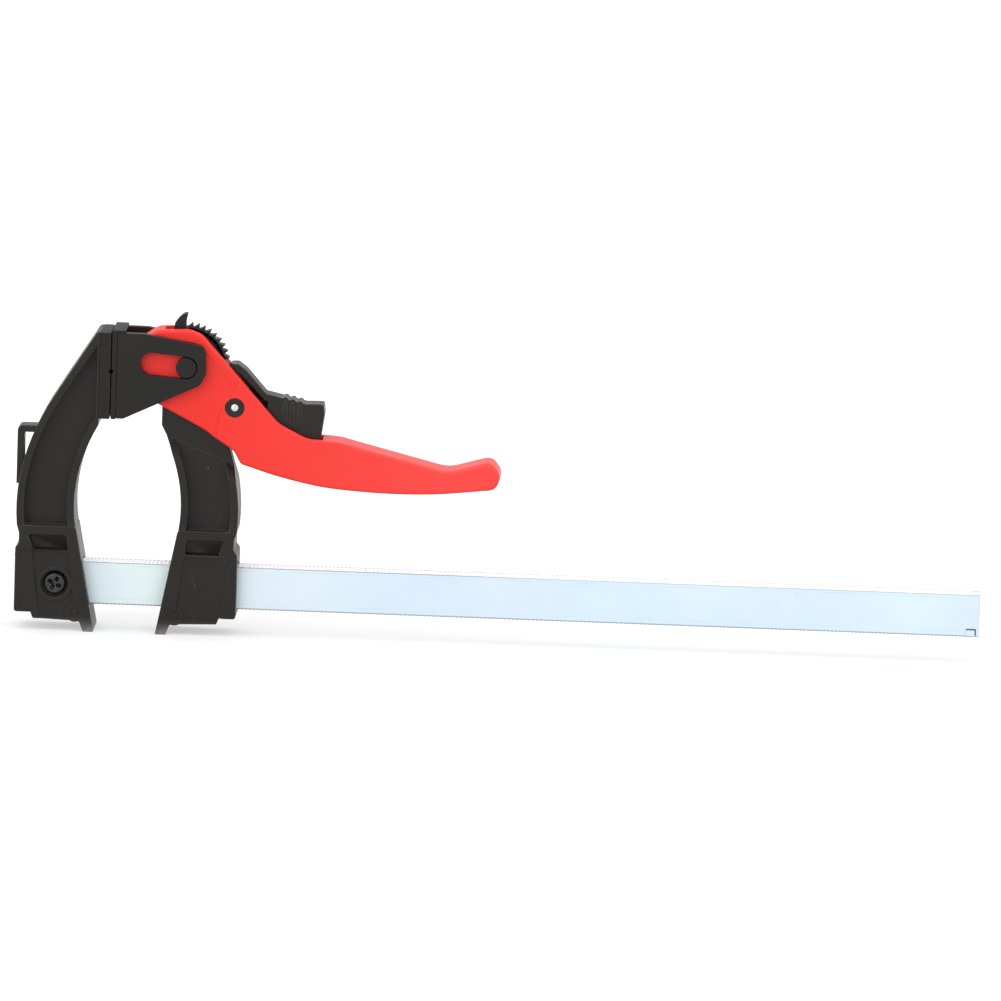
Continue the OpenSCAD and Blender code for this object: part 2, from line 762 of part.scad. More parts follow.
// Tube of radius r along the path p, with the given number of sides
module tube(p, r, sides) {
    last = len(p) - 1;
    rings = [
        for (i = [0:last])
            let (t = unit(p[min(i + 1, last)] - p[max(i - 1, 0)]))
            let (u = unit(cross(t, [0, 1, 0])))
            let (v = cross(u, t))
            for (k = [0:sides - 1]) p[i] + r * (cos(360 * k / sides) * u + sin(360 * k / sides) * v)
    ];
    walls = [
        for (i = [0:last - 1]) for (k = [0:sides - 1])
            let (a = i * sides + k)
            let (b = i * sides + (k + 1) % sides)
            [a, b, b + sides, a + sides]
    ];
    ends = [
        [for (k = [0:sides - 1]) sides - 1 - k],
        [for (k = [0:sides - 1]) last * sides + k]
    ];
    polyhedron(rings, concat(walls, ends));
}

bar();
fixed_arm();
fixed_pad();
fixed_axles();
fixed_sleeves();
bar_screw();
bar_nut();
sliding_arm();
slide_axles();
slide_sleeves();
ratchet_sector();
sector_rivets();
pivot_pin();
pivot_collar();
pusher();
moving_pad();
lever();
release_pin();
release_bushes();
release_lever();
release_spring();
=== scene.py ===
import json
import math

import bmesh
import bpy
from mathutils import Matrix, Vector
from mathutils.geometry import delaunay_2d_cdt, intersect_line_line_2d, intersect_point_line


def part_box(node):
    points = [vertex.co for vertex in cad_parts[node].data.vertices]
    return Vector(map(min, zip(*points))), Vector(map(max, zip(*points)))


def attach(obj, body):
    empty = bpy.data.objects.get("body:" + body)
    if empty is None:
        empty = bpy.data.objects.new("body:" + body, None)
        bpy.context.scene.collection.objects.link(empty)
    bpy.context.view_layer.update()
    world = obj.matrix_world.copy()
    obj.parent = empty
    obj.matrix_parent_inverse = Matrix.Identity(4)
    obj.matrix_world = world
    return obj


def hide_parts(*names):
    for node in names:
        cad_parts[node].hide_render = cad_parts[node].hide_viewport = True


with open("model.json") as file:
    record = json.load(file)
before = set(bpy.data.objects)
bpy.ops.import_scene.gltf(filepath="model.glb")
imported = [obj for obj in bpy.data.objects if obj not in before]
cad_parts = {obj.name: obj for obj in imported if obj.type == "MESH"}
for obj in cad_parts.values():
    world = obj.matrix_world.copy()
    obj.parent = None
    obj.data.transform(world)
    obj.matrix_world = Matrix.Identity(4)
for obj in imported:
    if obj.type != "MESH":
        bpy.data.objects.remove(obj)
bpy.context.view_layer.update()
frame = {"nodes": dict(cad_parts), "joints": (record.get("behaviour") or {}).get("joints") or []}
nodes = frame["nodes"]
scene = bpy.context.scene
mm = 0.001
print("frame loaded:", len(nodes), "CAD nodes")

joints = {joint["name"]: joint for joint in frame["joints"]}
pivotAt = Vector(joints["lever_pivot"]["pos_m"])
releaseAt = Vector(joints["release_pivot"]["pos_m"])


def lowest(node):
    return Vector(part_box(node)[0])


def highest(node):
    return Vector(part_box(node)[1])


# Camera: a long lens, a little to the right and above, with the clamp rolled slightly downhill
view = {
    "azimuth": 2.6,
    "elevation": 9.74,
    "roll": 1.735,
    "distance": 6.0,
    "frameWidth": 0.3885,
    "lookAt": (0.00042, 0.0, 0.05605),
}


def tilted(a, b, c):
    # a direction of the upright picture, seen from the clamp, which stands rolled in it
    roll = math.radians(view["roll"])
    return Vector((
        a * math.cos(roll) - c * math.sin(roll),
        b,
        a * math.sin(roll) + c * math.cos(roll),
    ))


def makeCamera():
    turn, up = math.radians(view["azimuth"]), math.radians(view["elevation"])
    right = tilted(math.cos(turn), math.sin(turn), 0)
    over = tilted(-math.sin(turn) * math.sin(up), math.cos(turn) * math.sin(up), math.cos(up))
    back = right.cross(over)
    data = bpy.data.cameras.new("camera")
    data.sensor_width = 36
    data.lens = data.sensor_width * view["distance"] / view["frameWidth"]
    data.clip_start, data.clip_end = 0.1, 30
    camera = bpy.data.objects.new("camera", data)
    turned = Matrix((right, over, back)).transposed().to_4x4()
    camera.matrix_world = Matrix.Translation(Vector(view["lookAt"]) + back * view["distance"]) @ turned
    scene.collection.objects.link(camera)
    scene.camera = camera


makeCamera()
print("camera placed")


# Short ways to wire nodes, for shader and geometry trees alike
def wire(tree, value, socket):
    if isinstance(value, bpy.types.NodeSocket):
        tree.links.new(value, socket)
    else:
        socket.default_value = value


def addNode(tree, kind, settings=None, **inputs):
    # inputs are given by name, or by place as i0, i1 and so on
    node = tree.nodes.new(kind)
    for key, value in (settings or {}).items():
        setattr(node, key, value)
    for key, value in inputs.items():
        place = int(key[1:]) if key[0] == "i" and key[1:].isdigit() else key.replace("_", " ")
        wire(tree, value, node.inputs[place])
    return node


def maths(tree, operation, first, second=0.0, third=0.0, clamp=False):
    node = addNode(tree, "ShaderNodeMath", {"operation": operation, "use_clamp": clamp},
                   i0=first, i1=second, i2=third)
    return node.outputs[0]


def times(tree, first, second, clamp=False):
    return maths(tree, "MULTIPLY", first, second, clamp=clamp)


def objectPlace(tree):
    return tree.nodes.new("ShaderNodeTexCoord").outputs["Object"]


def coordinates(tree):
    return addNode(tree, "ShaderNodeSeparateXYZ", i0=objectPlace(tree)).outputs


def noise(tree, scale, detail=2.0, roughness=0.5, stretch=(1, 1, 1), offset=(0, 0, 0)):
    mapping = addNode(tree, "ShaderNodeMapping", i0=objectPlace(tree), i1=offset, i3=stretch)
    node = addNode(tree, "ShaderNodeTexNoise", i0=mapping.outputs[0],
                   Scale=scale, Detail=detail, Roughness=roughness)
    return node.outputs[0]


def spread(tree, value, low, high, toLow=0.0, toHigh=1.0):
    # low to high becomes toLow to toHigh, and nothing goes past these
    node = addNode(tree, "ShaderNodeMapRange", {"clamp": True},
                   i0=value, i1=low, i2=high, i3=toLow, i4=toHigh)
    return node.outputs[0]


def blendColours(tree, factor, first, second):
    node = tree.nodes.new("ShaderNodeMix")
    node.data_type = "RGBA"
    for index, value in ((0, factor), (6, first), (7, second)):
        wire(tree, value, node.inputs[index])
    return node.outputs[2]


def newGroup(name, inputs, outputs):
    group = bpy.data.node_groups.new(name, "ShaderNodeTree")
    for socketName, value in inputs.items():
        socket = group.interface.new_socket(socketName, in_out="INPUT", socket_type="NodeSocketFloat")
        socket.default_value = value
    for socketName in outputs:
        group.interface.new_socket(socketName, in_out="OUTPUT", socket_type="NodeSocketFloat")
    return group, group.nodes.new("NodeGroupInput").outputs, group.nodes.new("NodeGroupOutput").inputs


def grainGroup():
    # fine eroded grain of a mould, with slow patches where the plastic flowed
    group, given, made = newGroup("mouldGrain", {"Grain": 2200.0, "Patches": 45.0}, ("Height", "Patch"))
    fine = noise(group, given["Grain"], 3.0, 0.6)
    patch = noise(group, given["Patches"], 4.0, 0.55)
    wire(group, fine, made["Height"])
    wire(group, spread(group, patch, 0.32, 0.68), made["Patch"])
    return group


def edgeGroup():
    # 1 along outer edges that hands and benches rub and where a painted highlight runs along them, 0 on the
    # faces
    group, given, made = newGroup("edgeRubAndHighlight", {"Reach": 0.0006, "Break-up": 0.5}, ("Mask",))
    roundNormal = addNode(group, "ShaderNodeBevel", {"samples": 6}, i0=given["Reach"])
    flat = group.nodes.new("ShaderNodeNewGeometry")
    turn = addNode(group, "ShaderNodeVectorMath", {"operation": "DOT_PRODUCT"},
                   i0=roundNormal.outputs[0], i1=flat.outputs["Normal"])
    edge = spread(group, turn.outputs["Value"], 0.995, 0.86)
    broken = spread(group, noise(group, 420.0, 3.0, 0.6), 0.35, 0.65)
    softened = maths(group, "MULTIPLY_ADD", maths(group, "SUBTRACT", broken, 1.0), given["Break-up"], 1.0)
    wire(group, times(group, edge, softened, clamp=True), made["Mask"])
    return group


def speckGroup():
    # scattered bits of lint and dust
    group, given, made = newGroup("dustSpecks", {"Scale": 150.0, "Size": 0.045, "Share": 0.06}, ("Mask",))
    cells = addNode(group, "ShaderNodeTexVoronoi", i0=objectPlace(group), Scale=given["Scale"])
    chosen = addNode(group, "ShaderNodeSeparateColor", i0=cells.outputs["Color"])
    rare = maths(group, "LESS_THAN", chosen.outputs[0], given["Share"])
    near = maths(group, "LESS_THAN", cells.outputs["Distance"], given["Size"])
    wire(group, times(group, rare, near), made["Mask"])
    return group


def drawnGroup():
    # drawing lines along X, and blotches in the plating
    group, given, made = newGroup("drawnMetal", {"Lines": 900.0, "Blotches": 30.0}, ("Height", "Blotch"))
    lines = noise(group, given["Lines"], 2.0, 0.6, stretch=(0.02, 1, 1))
    blotch = noise(group, given["Blotches"], 3.0, 0.6, stretch=(0.6, 1, 1))
    wire(group, lines, made["Height"])
    wire(group, spread(group, blotch, 0.3, 0.7), made["Blotch"])
    return group


groups = {
    "grain": grainGroup(),
    "edge": edgeGroup(),
    "specks": speckGroup(),
    "drawn": drawnGroup(),
}
print("shader groups built")


def useGroup(tree, name, **values):
    node = tree.nodes.new("ShaderNodeGroup")
    node.node_tree = groups[name]
    for key, value in values.items():
        node.inputs[key].default_value = value
    return node.outputs


def newMaterial(name, **fixed):
    material = bpy.data.materials.new(name)
    material.use_nodes = True
    tree = material.node_tree
    shader = tree.nodes["Principled BSDF"]
    for key, value in fixed.items():
        shader.inputs[key.replace("_", " ")].default_value = value
    return material, tree, shader


def twoShades(tree, share, look):
    # dark to light by the share, with the edges' lighter colour along the edges, partly rubbed wear and
    # partly a painted highlight; also gives where that is
    edge = useGroup(tree, "edge", Reach=look["edgeReach"])["Mask"]
    colour = blendColours(tree, share, look["dark"], look["light"])
    return blendColours(tree, times(tree, edge, look["edgeRubAndHighlightAmount"]), colour, look["edge"]), edge


def roughness(tree, share, look, clamp=True):
    return maths(tree, "MULTIPLY_ADD", share, look["roughSpread"], look["rough"], clamp=clamp)


def coated(tree, shader, colour, rough, relief, depth):
    bump = addNode(tree, "ShaderNodeBump", Height=relief, Distance=depth)
    for value, name in ((colour, "Base Color"), (rough, "Roughness"), (bump.outputs[0], "Normal")):
        wire(tree, value, shader.inputs[name])


def plastic(name, look):
    # moulded plastic: grain, flow patches, rubbed edges with a painted highlight, lint, painted light in the
    # sunk pockets, and painted floor bounce light, lighter towards the bottom of what it stands on
    material, tree, shader = newMaterial(name, Specular_IOR_Level=look["gloss"])
    grain = useGroup(tree, "grain", Grain=look["grain"], Patches=look["patches"])
    colour, edge = twoShades(tree, grain["Patch"], look)
    if "dustAndFloorBounce" in look:
        specks = useGroup(tree, "specks")
        colour = blendColours(tree, times(tree, specks["Mask"], look["speckAmount"]), colour, look["dustAndFloorBounce"])
        across, height = coordinates(tree)[1:]
        # painted light: the sunk pockets are blended towards a lighter colour to lift their shade
        deep = spread(tree, maths(tree, "ABSOLUTE", across), look["pocketFrom"], look["pocketTo"])
        under = spread(tree, height, look["pocketHeight"], look["pocketHeight"] - 2 * mm)
        colour = blendColours(tree, times(tree, deep, under), colour, look["paintedPocketLight"])
        # painted floor bounce light: lighter towards the bottom, in cloudy patches
        low = maths(tree, "POWER", spread(tree, height, look["floorBounceHeight"], 0.0), 2.0)
        cloudy = noise(tree, *look["floorBounceCloud"])
        cloudy = spread(tree, cloudy, 0.3, 0.65, look["floorBounceLeast"], look["floorBounceAmount"])
        colour = blendColours(tree, times(tree, low, cloudy), colour, look["dustAndFloorBounce"])
    if "handleEndTint" in look:
        # lighter and more orange towards the handle's end
        along = coordinates(tree)[0]
        towardsHandleEnd = spread(tree, along, pivotAt.x + look["handleEndTintFrom"], pivotAt.x + look["handleEndTintTo"])
        colour = blendColours(tree, towardsHandleEnd, colour, look["handleEndTint"])
    rough = roughness(tree, grain["Patch"], look, clamp=False)
    rough = maths(tree, "MULTIPLY_ADD", edge, -look["edgePolish"], rough, clamp=True)
    relief = grain["Height"]
    if "drawMarks" in look:
        marks = noise(tree, look["drawMarks"], 2.0, 0.6, stretch=(1, 1, 0.04))
        relief = maths(tree, "MULTIPLY_ADD", marks, 2.0, relief)
    coated(tree, shader, colour, rough, relief, look["grainDepth"])
    return material


def steel(name, look):
    # turned or drawn steel, bright, hardened or blackened
    material, tree, shader = newMaterial(name, Metallic=look["metallic"], Specular_IOR_Level=look["gloss"])
    drawn = useGroup(tree, "drawn", Lines=look["lines"], Blotches=look["blotches"])
    colour = twoShades(tree, drawn["Blotch"], look)[0]
    rough = roughness(tree, drawn["Blotch"], look)
    coated(tree, shader, colour, rough, drawn["Height"], look["lineDepth"])
    return material


nylonLook = {
    "dark": (0.0128, 0.0098, 0.0094, 1), "light": (0.0170, 0.0132, 0.0128, 1), "gloss": 0.25,
    # edge: a lighter colour along the edges, partly rubbed wear and partly a painted highlight
    "edge": (0.145, 0.138, 0.134, 1), "edgeRubAndHighlightAmount": 0.75, "edgeReach": 0.0005, "edgePolish": 0.10,
    "grain": 2200.0, "grainDepth": 0.00003, "patches": 60.0, "rough": 0.34, "roughSpread": 0.12,
    # the lint colour, also used for painted floor bounce light on the lowest few mm
    "dustAndFloorBounce": (0.27, 0.262, 0.26, 1), "speckAmount": 0.7, "floorBounceHeight": 0.0065,
    "floorBounceCloud": (300.0, 4.0, 0.65), "floorBounceLeast": 0.6, "floorBounceAmount": 1.0,
    # painted light that lifts the sunk places of the housings, found by their distance from the middle plane
    "paintedPocketLight": (0.032, 0.0265, 0.0255, 1), "pocketFrom": 0.0090, "pocketTo": 0.0046, "pocketHeight": 0.0405,
}
pusherLook = dict(
    nylonLook, dark=(0.0062, 0.0058, 0.0050, 1), light=(0.0090, 0.0084, 0.0074, 1), patches=80.0,
    paintedPocketLight=(0.0095, 0.0095, 0.0088, 1),
)
padLook = dict(
    nylonLook, dark=(0.0090, 0.0064, 0.0068, 1), light=(0.0126, 0.0092, 0.0096, 1), grain=1500.0,
    rough=0.48, drawMarks=900.0, paintedPocketLight=(0.0125, 0.0100, 0.0103, 1),
)
redLook = {
    "dark": (0.865, 0.028, 0.019, 1), "light": (0.93, 0.037, 0.028, 1), "gloss": 0.3,
    # edge: a lighter red along the edges, partly rubbed wear and partly a painted highlight
    "edge": (0.97, 0.11, 0.085, 1), "edgeRubAndHighlightAmount": 0.35, "edgeReach": 0.0008, "edgePolish": 0.05,
    "handleEndTint": (0.975, 0.062, 0.054, 1), "handleEndTintFrom": 0.005, "handleEndTintTo": 0.105,
    "grain": 1800.0, "grainDepth": 0.00002, "patches": 25.0, "rough": 0.40, "roughSpread": 0.08,
}
blackSteelLook = {
    "dark": (0.0050, 0.0034, 0.0034, 1), "light": (0.0088, 0.0062, 0.0062, 1), "gloss": 0.3,
    # edge: lighter along the edges, rubbed wear and a painted highlight on the teeth's tips and the pins'
    # rims
    "edge": (0.20, 0.19, 0.19, 1), "edgeRubAndHighlightAmount": 0.6, "edgeReach": 0.0003,
    "lines": 700.0, "blotches": 220.0, "lineDepth": 0.00001,
    "rough": 0.34, "roughSpread": 0.16, "metallic": 0.1,
}
screwLook = dict(
    blackSteelLook, dark=(0.014, 0.014, 0.014, 1), light=(0.030, 0.030, 0.030, 1), gloss=0.9,
    # a bright edge colour: painted glints along the cross recess and the head's rim, with some rubbed wear
    rough=0.16, roughSpread=0.10, metallic=0.55, edge=(0.42, 0.41, 0.41, 1), edgeRubAndHighlightAmount=1.0,
)
brightSteelLook = {
    "dark": (0.58, 0.585, 0.59, 1), "light": (0.74, 0.745, 0.75, 1), "gloss": 0.5,
    # edge: lighter along the edges, rubbed wear and a painted highlight
    "edge": (0.85, 0.85, 0.85, 1), "edgeRubAndHighlightAmount": 0.4, "edgeReach": 0.0003,
    "lines": 900.0, "blotches": 200.0, "lineDepth": 0.00001,
    "rough": 0.24, "roughSpread": 0.12, "metallic": 1.0,
}
hardSteelLook = dict(
    brightSteelLook, dark=(0.12, 0.12, 0.125, 1), light=(0.2, 0.2, 0.205, 1), edgeRubAndHighlightAmount=0.3, rough=0.4,
)

materials = {
    "nylon": plastic("blackNylon", nylonLook),
    "pusher": plastic("pusherNylon", pusherLook),
    "pad": plastic("padRubber", padLook),
    "red": plastic("redPlastic", redLook),
    "blackened": steel("blackSteel", blackSteelLook),
    "screw": steel("screwSteel", screwLook),
    "bright": steel("brightSteel", brightSteelLook),
    "hard": steel("hardSteel", hardSteelLook),
}
print("materials built:", len(materials))


# Mesh work that most pieces share
bevelling = {
    "sharp": 28,        # degrees, from which an edge is rounded
    "tries": 6,
    "narrower": 0.65,   # what is left of a width after a try in which faces crossed
    "reach": 1.7, "slack": 0.1,   # how near an edge a crossing is its own, in widths and in mm on top
    "shortest": 0.2,    # mm, of a piece split off a long edge
    "bent": 1.3, "flat": 1.001,   # how much more than its area a sound face may cover, four-sided or not
}


def newPiece(name, bm, material):
    mesh = bpy.data.meshes.new(name)
    bm.to_mesh(mesh)
    bm.free()
    mesh.materials.append(material)
    piece = bpy.data.objects.new(name, mesh)
    scene.collection.objects.link(piece)
    return piece


def discard(piece):
    mesh = piece.data
    bpy.data.objects.remove(piece)
    bpy.data.meshes.remove(mesh)


def cadCopy(node):
    # the node's solid as a clean mesh: doubles merged, flat faces made whole
    bm = bmesh.new()
    bm.from_mesh(nodes[node].data)
    bmesh.ops.remove_doubles(bm, verts=bm.verts, dist=2e-5)
    bmesh.ops.dissolve_limit(bm, angle_limit=math.radians(0.5), verts=bm.verts, edges=bm.edges)
    # a face with a hole keeps seams to it: taking the longest away first leaves the shortest
    bmesh.ops.triangulate(bm, faces=bm.faces)
    flat = [edge for edge in bm.edges if edge.calc_face_angle(9) < math.radians(0.5)]
    for edge in sorted(flat, key=lambda edge: -edge.calc_length()):
        if edge.is_valid:
            bmesh.ops.dissolve_edges(bm, edges=[edge], use_verts=False)
    return bm


def slab(bm, outline, front, rear):
    # solid between the planes y = front and y = rear, with the X-Z outline given in metres
    rings = [[bm.verts.new((x, y, z)) for x, z in outline] for y in (front, rear)]
    count = len(outline)
    faces = [bm.faces.new(rings[0]), bm.faces.new(list(reversed(rings[1])))]
    for index in range(count):
        after = (index + 1) % count
        faces.append(bm.faces.new((rings[0][after], rings[0][index], rings[1][index], rings[1][after])))
    bmesh.ops.recalc_face_normals(bm, faces=faces)


def turned(bm, centre, profile, sides):
    # solid of revolution about the Y line through centre; profile is [(y, radius)] in mm
    rings = []
    for y, radius in profile:
        ring = []
        for step in range(sides if radius else 1):
            angle = 2 * math.pi * step / sides
            x = centre.x + radius * mm * math.cos(angle)
            z = centre.z + radius * mm * math.sin(angle)
            ring.append(bm.verts.new((x, y * mm, z)))
        rings.append(ring)
    faces = []
    for near, far in zip(rings, rings[1:]):
        for step in range(sides):
            after = (step + 1) % sides
            corners = (
                near[step % len(near)], near[after % len(near)],
                far[after % len(far)], far[step % len(far)],
            )
            faces.append(bm.faces.new(list(dict.fromkeys(corners))))
    bmesh.ops.recalc_face_normals(bm, faces=faces)


def polar(radius, degrees, centre=Vector((0, 0, 0))):
    # X-Z place at a radius in mm and an angle, as two numbers in metres
    angle = math.radians(degrees)
    return centre.x + radius * mm * math.cos(angle), centre.z + radius * mm * math.sin(angle)


def bakedMesh(piece):
    bpy.context.view_layer.update()
    evaluated = piece.evaluated_get(bpy.context.evaluated_depsgraph_get())
    return bpy.data.meshes.new_from_object(evaluated)


def takeMesh(piece, mesh=None):
    # gives the piece this mesh, or its own with its modifiers made real
    mesh = mesh or bakedMesh(piece)
    old = piece.data
    piece.modifiers.clear()
    piece.data = mesh
    bpy.data.meshes.remove(old)
    mesh.name = piece.name


def crossedFaces(mesh):
    # faces whose outline runs across itself, which a bevel makes where it has no room
    mesh.calc_loop_triangles()
    covered = [0.0] * len(mesh.polygons)
    for triangle in mesh.loop_triangles:
        covered[triangle.polygon_index] += triangle.area
    found = []
    for face in mesh.polygons:
        allowed = face.area * bevelling["bent" if face.loop_total == 4 else "flat"] + 1e-8
        if covered[face.index] > allowed:
            found.append(face.index)
    return found


def flattened(face, corners):
    # the face's two directions, its height along its normal, and its corners in its own plane
    across = face.normal.orthogonal().normalized()
    up = face.normal.cross(across)
    middle = sum(corners, Vector()) / len(corners)
    lift = face.normal * face.normal.dot(middle)
    return across, up, lift, [Vector((corner.dot(across), corner.dot(up))) for corner in corners]


def crossedAt(mesh, faces):
    places = []
    for index in faces:
        face = mesh.polygons[index]
        across, up, lift, flat = flattened(face, [mesh.vertices[i].co for i in face.vertices])
        flat.append(flat[0])
        last = len(flat) - 1
        found = []
        for first in range(last):
            for second in range(first + 2, last - (first == 0)):
                met = intersect_line_line_2d(flat[first], flat[first + 1], flat[second], flat[second + 1])
                if met:
                    found.append(across * met.x + up * met.y + lift)
        places += found or [face.center.copy()]
    return places


def within(place, outline):
    # whether the outline runs round the place an odd number of times
    inside = False
    for first, second in zip(outline, outline[1:] + outline[:1]):
        if (first.y > place.y) != (second.y > place.y):
            if place.x < first.x + (place.y - first.y) * (second.x - first.x) / (second.y - first.y):
                inside = not inside
    return inside


def mended(mesh, faces):
    # lays such a face out again from triangles, so that only the crossing itself stays
    bm = bmesh.new()
    bm.from_mesh(mesh)
    bm.faces.ensure_lookup_table()
    for face in [bm.faces[index] for index in faces]:
        corners = list(face.verts)
        across, up, lift, flat = flattened(face, [vert.co for vert in corners])
        places, _, triangles, came, _, _ = delaunay_2d_cdt(flat, [], [range(len(flat))], 1, 1e-9)
        verts = [
            corners[origin[0]] if origin else bm.verts.new(across * place.x + up * place.y + lift)
            for place, origin in zip(places, came)
        ]
        bm.faces.remove(face)
        for triangle in triangles:
            picked = [verts[index] for index in triangle]
            middle = sum((places[index] for index in triangle), Vector((0, 0))) / len(triangle)
            if within(middle, flat) and len(set(picked)) == len(picked) and not bm.faces.get(picked):
                bm.faces.new(picked).smooth = True
    bm.to_mesh(mesh)
    bm.free()


def offEdge(edge, place):
    start, end = (vert.co for vert in edge.verts)
    nearest, share = intersect_point_line(place, start, end)
    return (start.lerp(end, min(max(share, 0), 1)) - place).length


def rounded(piece, width, segments=2, widthAt=None, shaping=None):
    # bevels the sharp edges, widthAt(edge) mm wide, and narrower wherever faces would run into each other
    bm = bmesh.new()
    bm.from_mesh(piece.data)
    layer = bm.edges.layers.float.new("bevel_weight_edge")
    leastAngle = math.radians(bevelling["sharp"])
    sharp = [
        edge for edge in bm.edges
        if len(edge.link_faces) == 2 and edge.is_convex and edge.calc_face_angle(0) > leastAngle
    ]
    for edge in sharp:
        edge[layer] = widthAt(edge) / width if widthAt else 1.0
    for face in bm.faces:
        face.smooth = True
    bevel = piece.modifiers.new("round", "BEVEL")
    bevel.width = width * mm
    bevel.segments = segments
    bevel.limit_method = "WEIGHT"
    bevel.use_clamp_overlap = False
    bevel.loop_slide = False
    bevel.miter_outer = "MITER_ARC"
    for attempt in range(bevelling["tries"]):
        bm.to_mesh(piece.data)
        mesh = bakedMesh(piece)
        crossed = crossedFaces(mesh)
        if not crossed or attempt == bevelling["tries"] - 1:
            break
        places = crossedAt(mesh, crossed)
        bpy.data.meshes.remove(mesh)
        for edge in sharp:
            reach = (bevelling["reach"] * edge[layer] * width + bevelling["slack"]) * mm
            if any(offEdge(edge, place) < reach for place in places):
                edge[layer] *= bevelling["narrower"]
    bm.free()
    mended(mesh, crossed)
    if shaping:
        shaping(mesh)
    takeMesh(piece, mesh)
    # broad faces keep their own normals, and the rounded edges turn between them
    weighted = piece.modifiers.new("normals", "WEIGHTED_NORMAL")
    weighted.weight = 100
    weighted.keep_sharp = False
    takeMesh(piece)
    print(piece.name, "rounded in", attempt + 1, "rounds,", len(crossed), "faces mended")


def cut(piece, cutter):
    # takes the solids of the bmesh cutter away from the piece
    tool = newPiece("cutter", cutter, piece.data.materials[0])
    boolean = piece.modifiers.new("cut", "BOOLEAN")
    boolean.operation = "DIFFERENCE"
    boolean.solver = "EXACT"
    boolean.object = tool
    takeMesh(piece)
    discard(tool)


def settle(piece, body, node):
    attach(piece, body)
    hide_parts(node)
    return piece


def dressed(node, name, material, body, width, segments=2, widthAt=None, splits=(), shaping=None):
    # splits are X places, in mm from the lever's pivot, where long edges get a point, so that their width
    # can change there; shaping(mesh) is done on the rounded mesh
    bm = cadCopy(node)
    for split in splits:
        level = pivotAt.x + split * mm
        for edge in list(bm.edges):
            start, end = edge.verts
            share = (level - start.co.x) / ((end.co.x - start.co.x) or 1)
            if min(share, 1 - share) * edge.calc_length() > bevelling["shortest"] * mm:
                bmesh.utils.edge_split(edge, start, share)
    piece = newPiece(name, bm, materials[material])
    rounded(piece, width, segments, widthAt, shaping)
    return settle(piece, body, node)


# Geometry Nodes: each tree has named sizes, makes its copies real and sets the material
def newTree(name, inputs):
    tree = bpy.data.node_groups.new(name, "GeometryNodeTree")
    tree.interface.new_socket("Geometry", in_out="INPUT", socket_type="NodeSocketGeometry")
    for socketName, kind in inputs.items():
        tree.interface.new_socket(socketName, in_out="INPUT", socket_type="NodeSocket" + kind)
    tree.interface.new_socket("Geometry", in_out="OUTPUT", socket_type="NodeSocketGeometry")
    return tree, tree.nodes.new("NodeGroupInput").outputs


def endTree(tree, given, geometry):
    real = addNode(tree, "GeometryNodeRealizeInstances", i0=geometry)
    painted = addNode(tree, "GeometryNodeSetMaterial", Geometry=real.outputs[0], Material=given["Material"])
    wire(tree, painted.outputs[0], tree.nodes.new("NodeGroupOutput").inputs[0])
    return tree


def rowTree():
    # repeats the piece's own mesh, a step further on and turned an angle about Y each time
    tree, given = newTree("rowOfCopies", {
        "Count": "Int", "Start": "Vector", "Step": "Vector", "Angle": "Float", "Material": "Material",
    })
    line = addNode(tree, "GeometryNodeMeshLine", {"mode": "OFFSET"},
                   Count=given["Count"], Start_Location=given["Start"], Offset=given["Step"])
    index = tree.nodes.new("GeometryNodeInputIndex")
    turn = addNode(tree, "ShaderNodeCombineXYZ", Y=times(tree, index.outputs[0], given["Angle"]))
    copies = addNode(tree, "GeometryNodeInstanceOnPoints",
                     Points=line.outputs[0], Instance=given["Geometry"], Rotation=turn.outputs[0])
    return endTree(tree, given, copies.outputs[0])


def wireTree():
    # round wire along the piece's own edges
    tree, given = newTree("wireAlong", {"Radius": "Float", "Sides": "Int", "Material": "Material"})
    path = addNode(tree, "GeometryNodeMeshToCurve", i0=given["Geometry"])
    section = addNode(tree, "GeometryNodeCurvePrimitiveCircle",
                      Resolution=given["Sides"], Radius=given["Radius"])
    wound = addNode(tree, "GeometryNodeCurveToMesh",
                    i0=path.outputs[0], i1=section.outputs[0], Fill_Caps=True)
    smoothed = addNode(tree, "GeometryNodeSetShadeSmooth", i0=wound.outputs[0])
    return endTree(tree, given, smoothed.outputs[0])


trees = {"row": rowTree(), "wire": wireTree()}


def grown(piece, tree, **sizes):
    modifier = piece.modifiers.new("grow", "NODES")
    modifier.node_group = trees[tree]
    sizes["Material"] = piece.data.materials[0]
    for item in trees[tree].interface.items_tree:
        if item.in_out == "INPUT" and item.name in sizes:
            modifier[item.identifier] = sizes[item.name]
    takeMesh(piece)
    return piece


def joined(piece, other):
    # adds the other piece's mesh to the piece, in the same material
    bm = bmesh.new()
    bm.from_mesh(piece.data)
    bm.from_mesh(other.data)
    bm.to_mesh(piece.data)
    bm.free()
    discard(other)
    return piece


print("geometry trees built:", len(trees))


# Arms, pads and small turned pieces keep their solids' shape, with rounded edges
armEdges = {
    "corner": 1.5, "outline": 0.45, "inner": 0.3,
    "outlineFrom": 9.9,   # from the middle plane outwards
    "topWithin": 0.5,
}


def fixedArmEdge(edge):
    # the corner above the jaw's back is the roundest
    a, b = (vert.co for vert in edge.verts)
    atTop = min(a.z, b.z) > highest("fixed_arm").z - armEdges["topWithin"] * mm
    if atTop and abs((a - b).normalized().y) > 0.99 and a.x < lowest("fixed_pad").x - mm:
        return armEdges["corner"]
    outer = abs((a.y + b.y) / 2) > armEdges["outlineFrom"] * mm
    return armEdges["outline" if outer else "inner"]


dressed("fixed_arm", "fixedArm", "nylon", "base", armEdges["corner"], 3, fixedArmEdge)

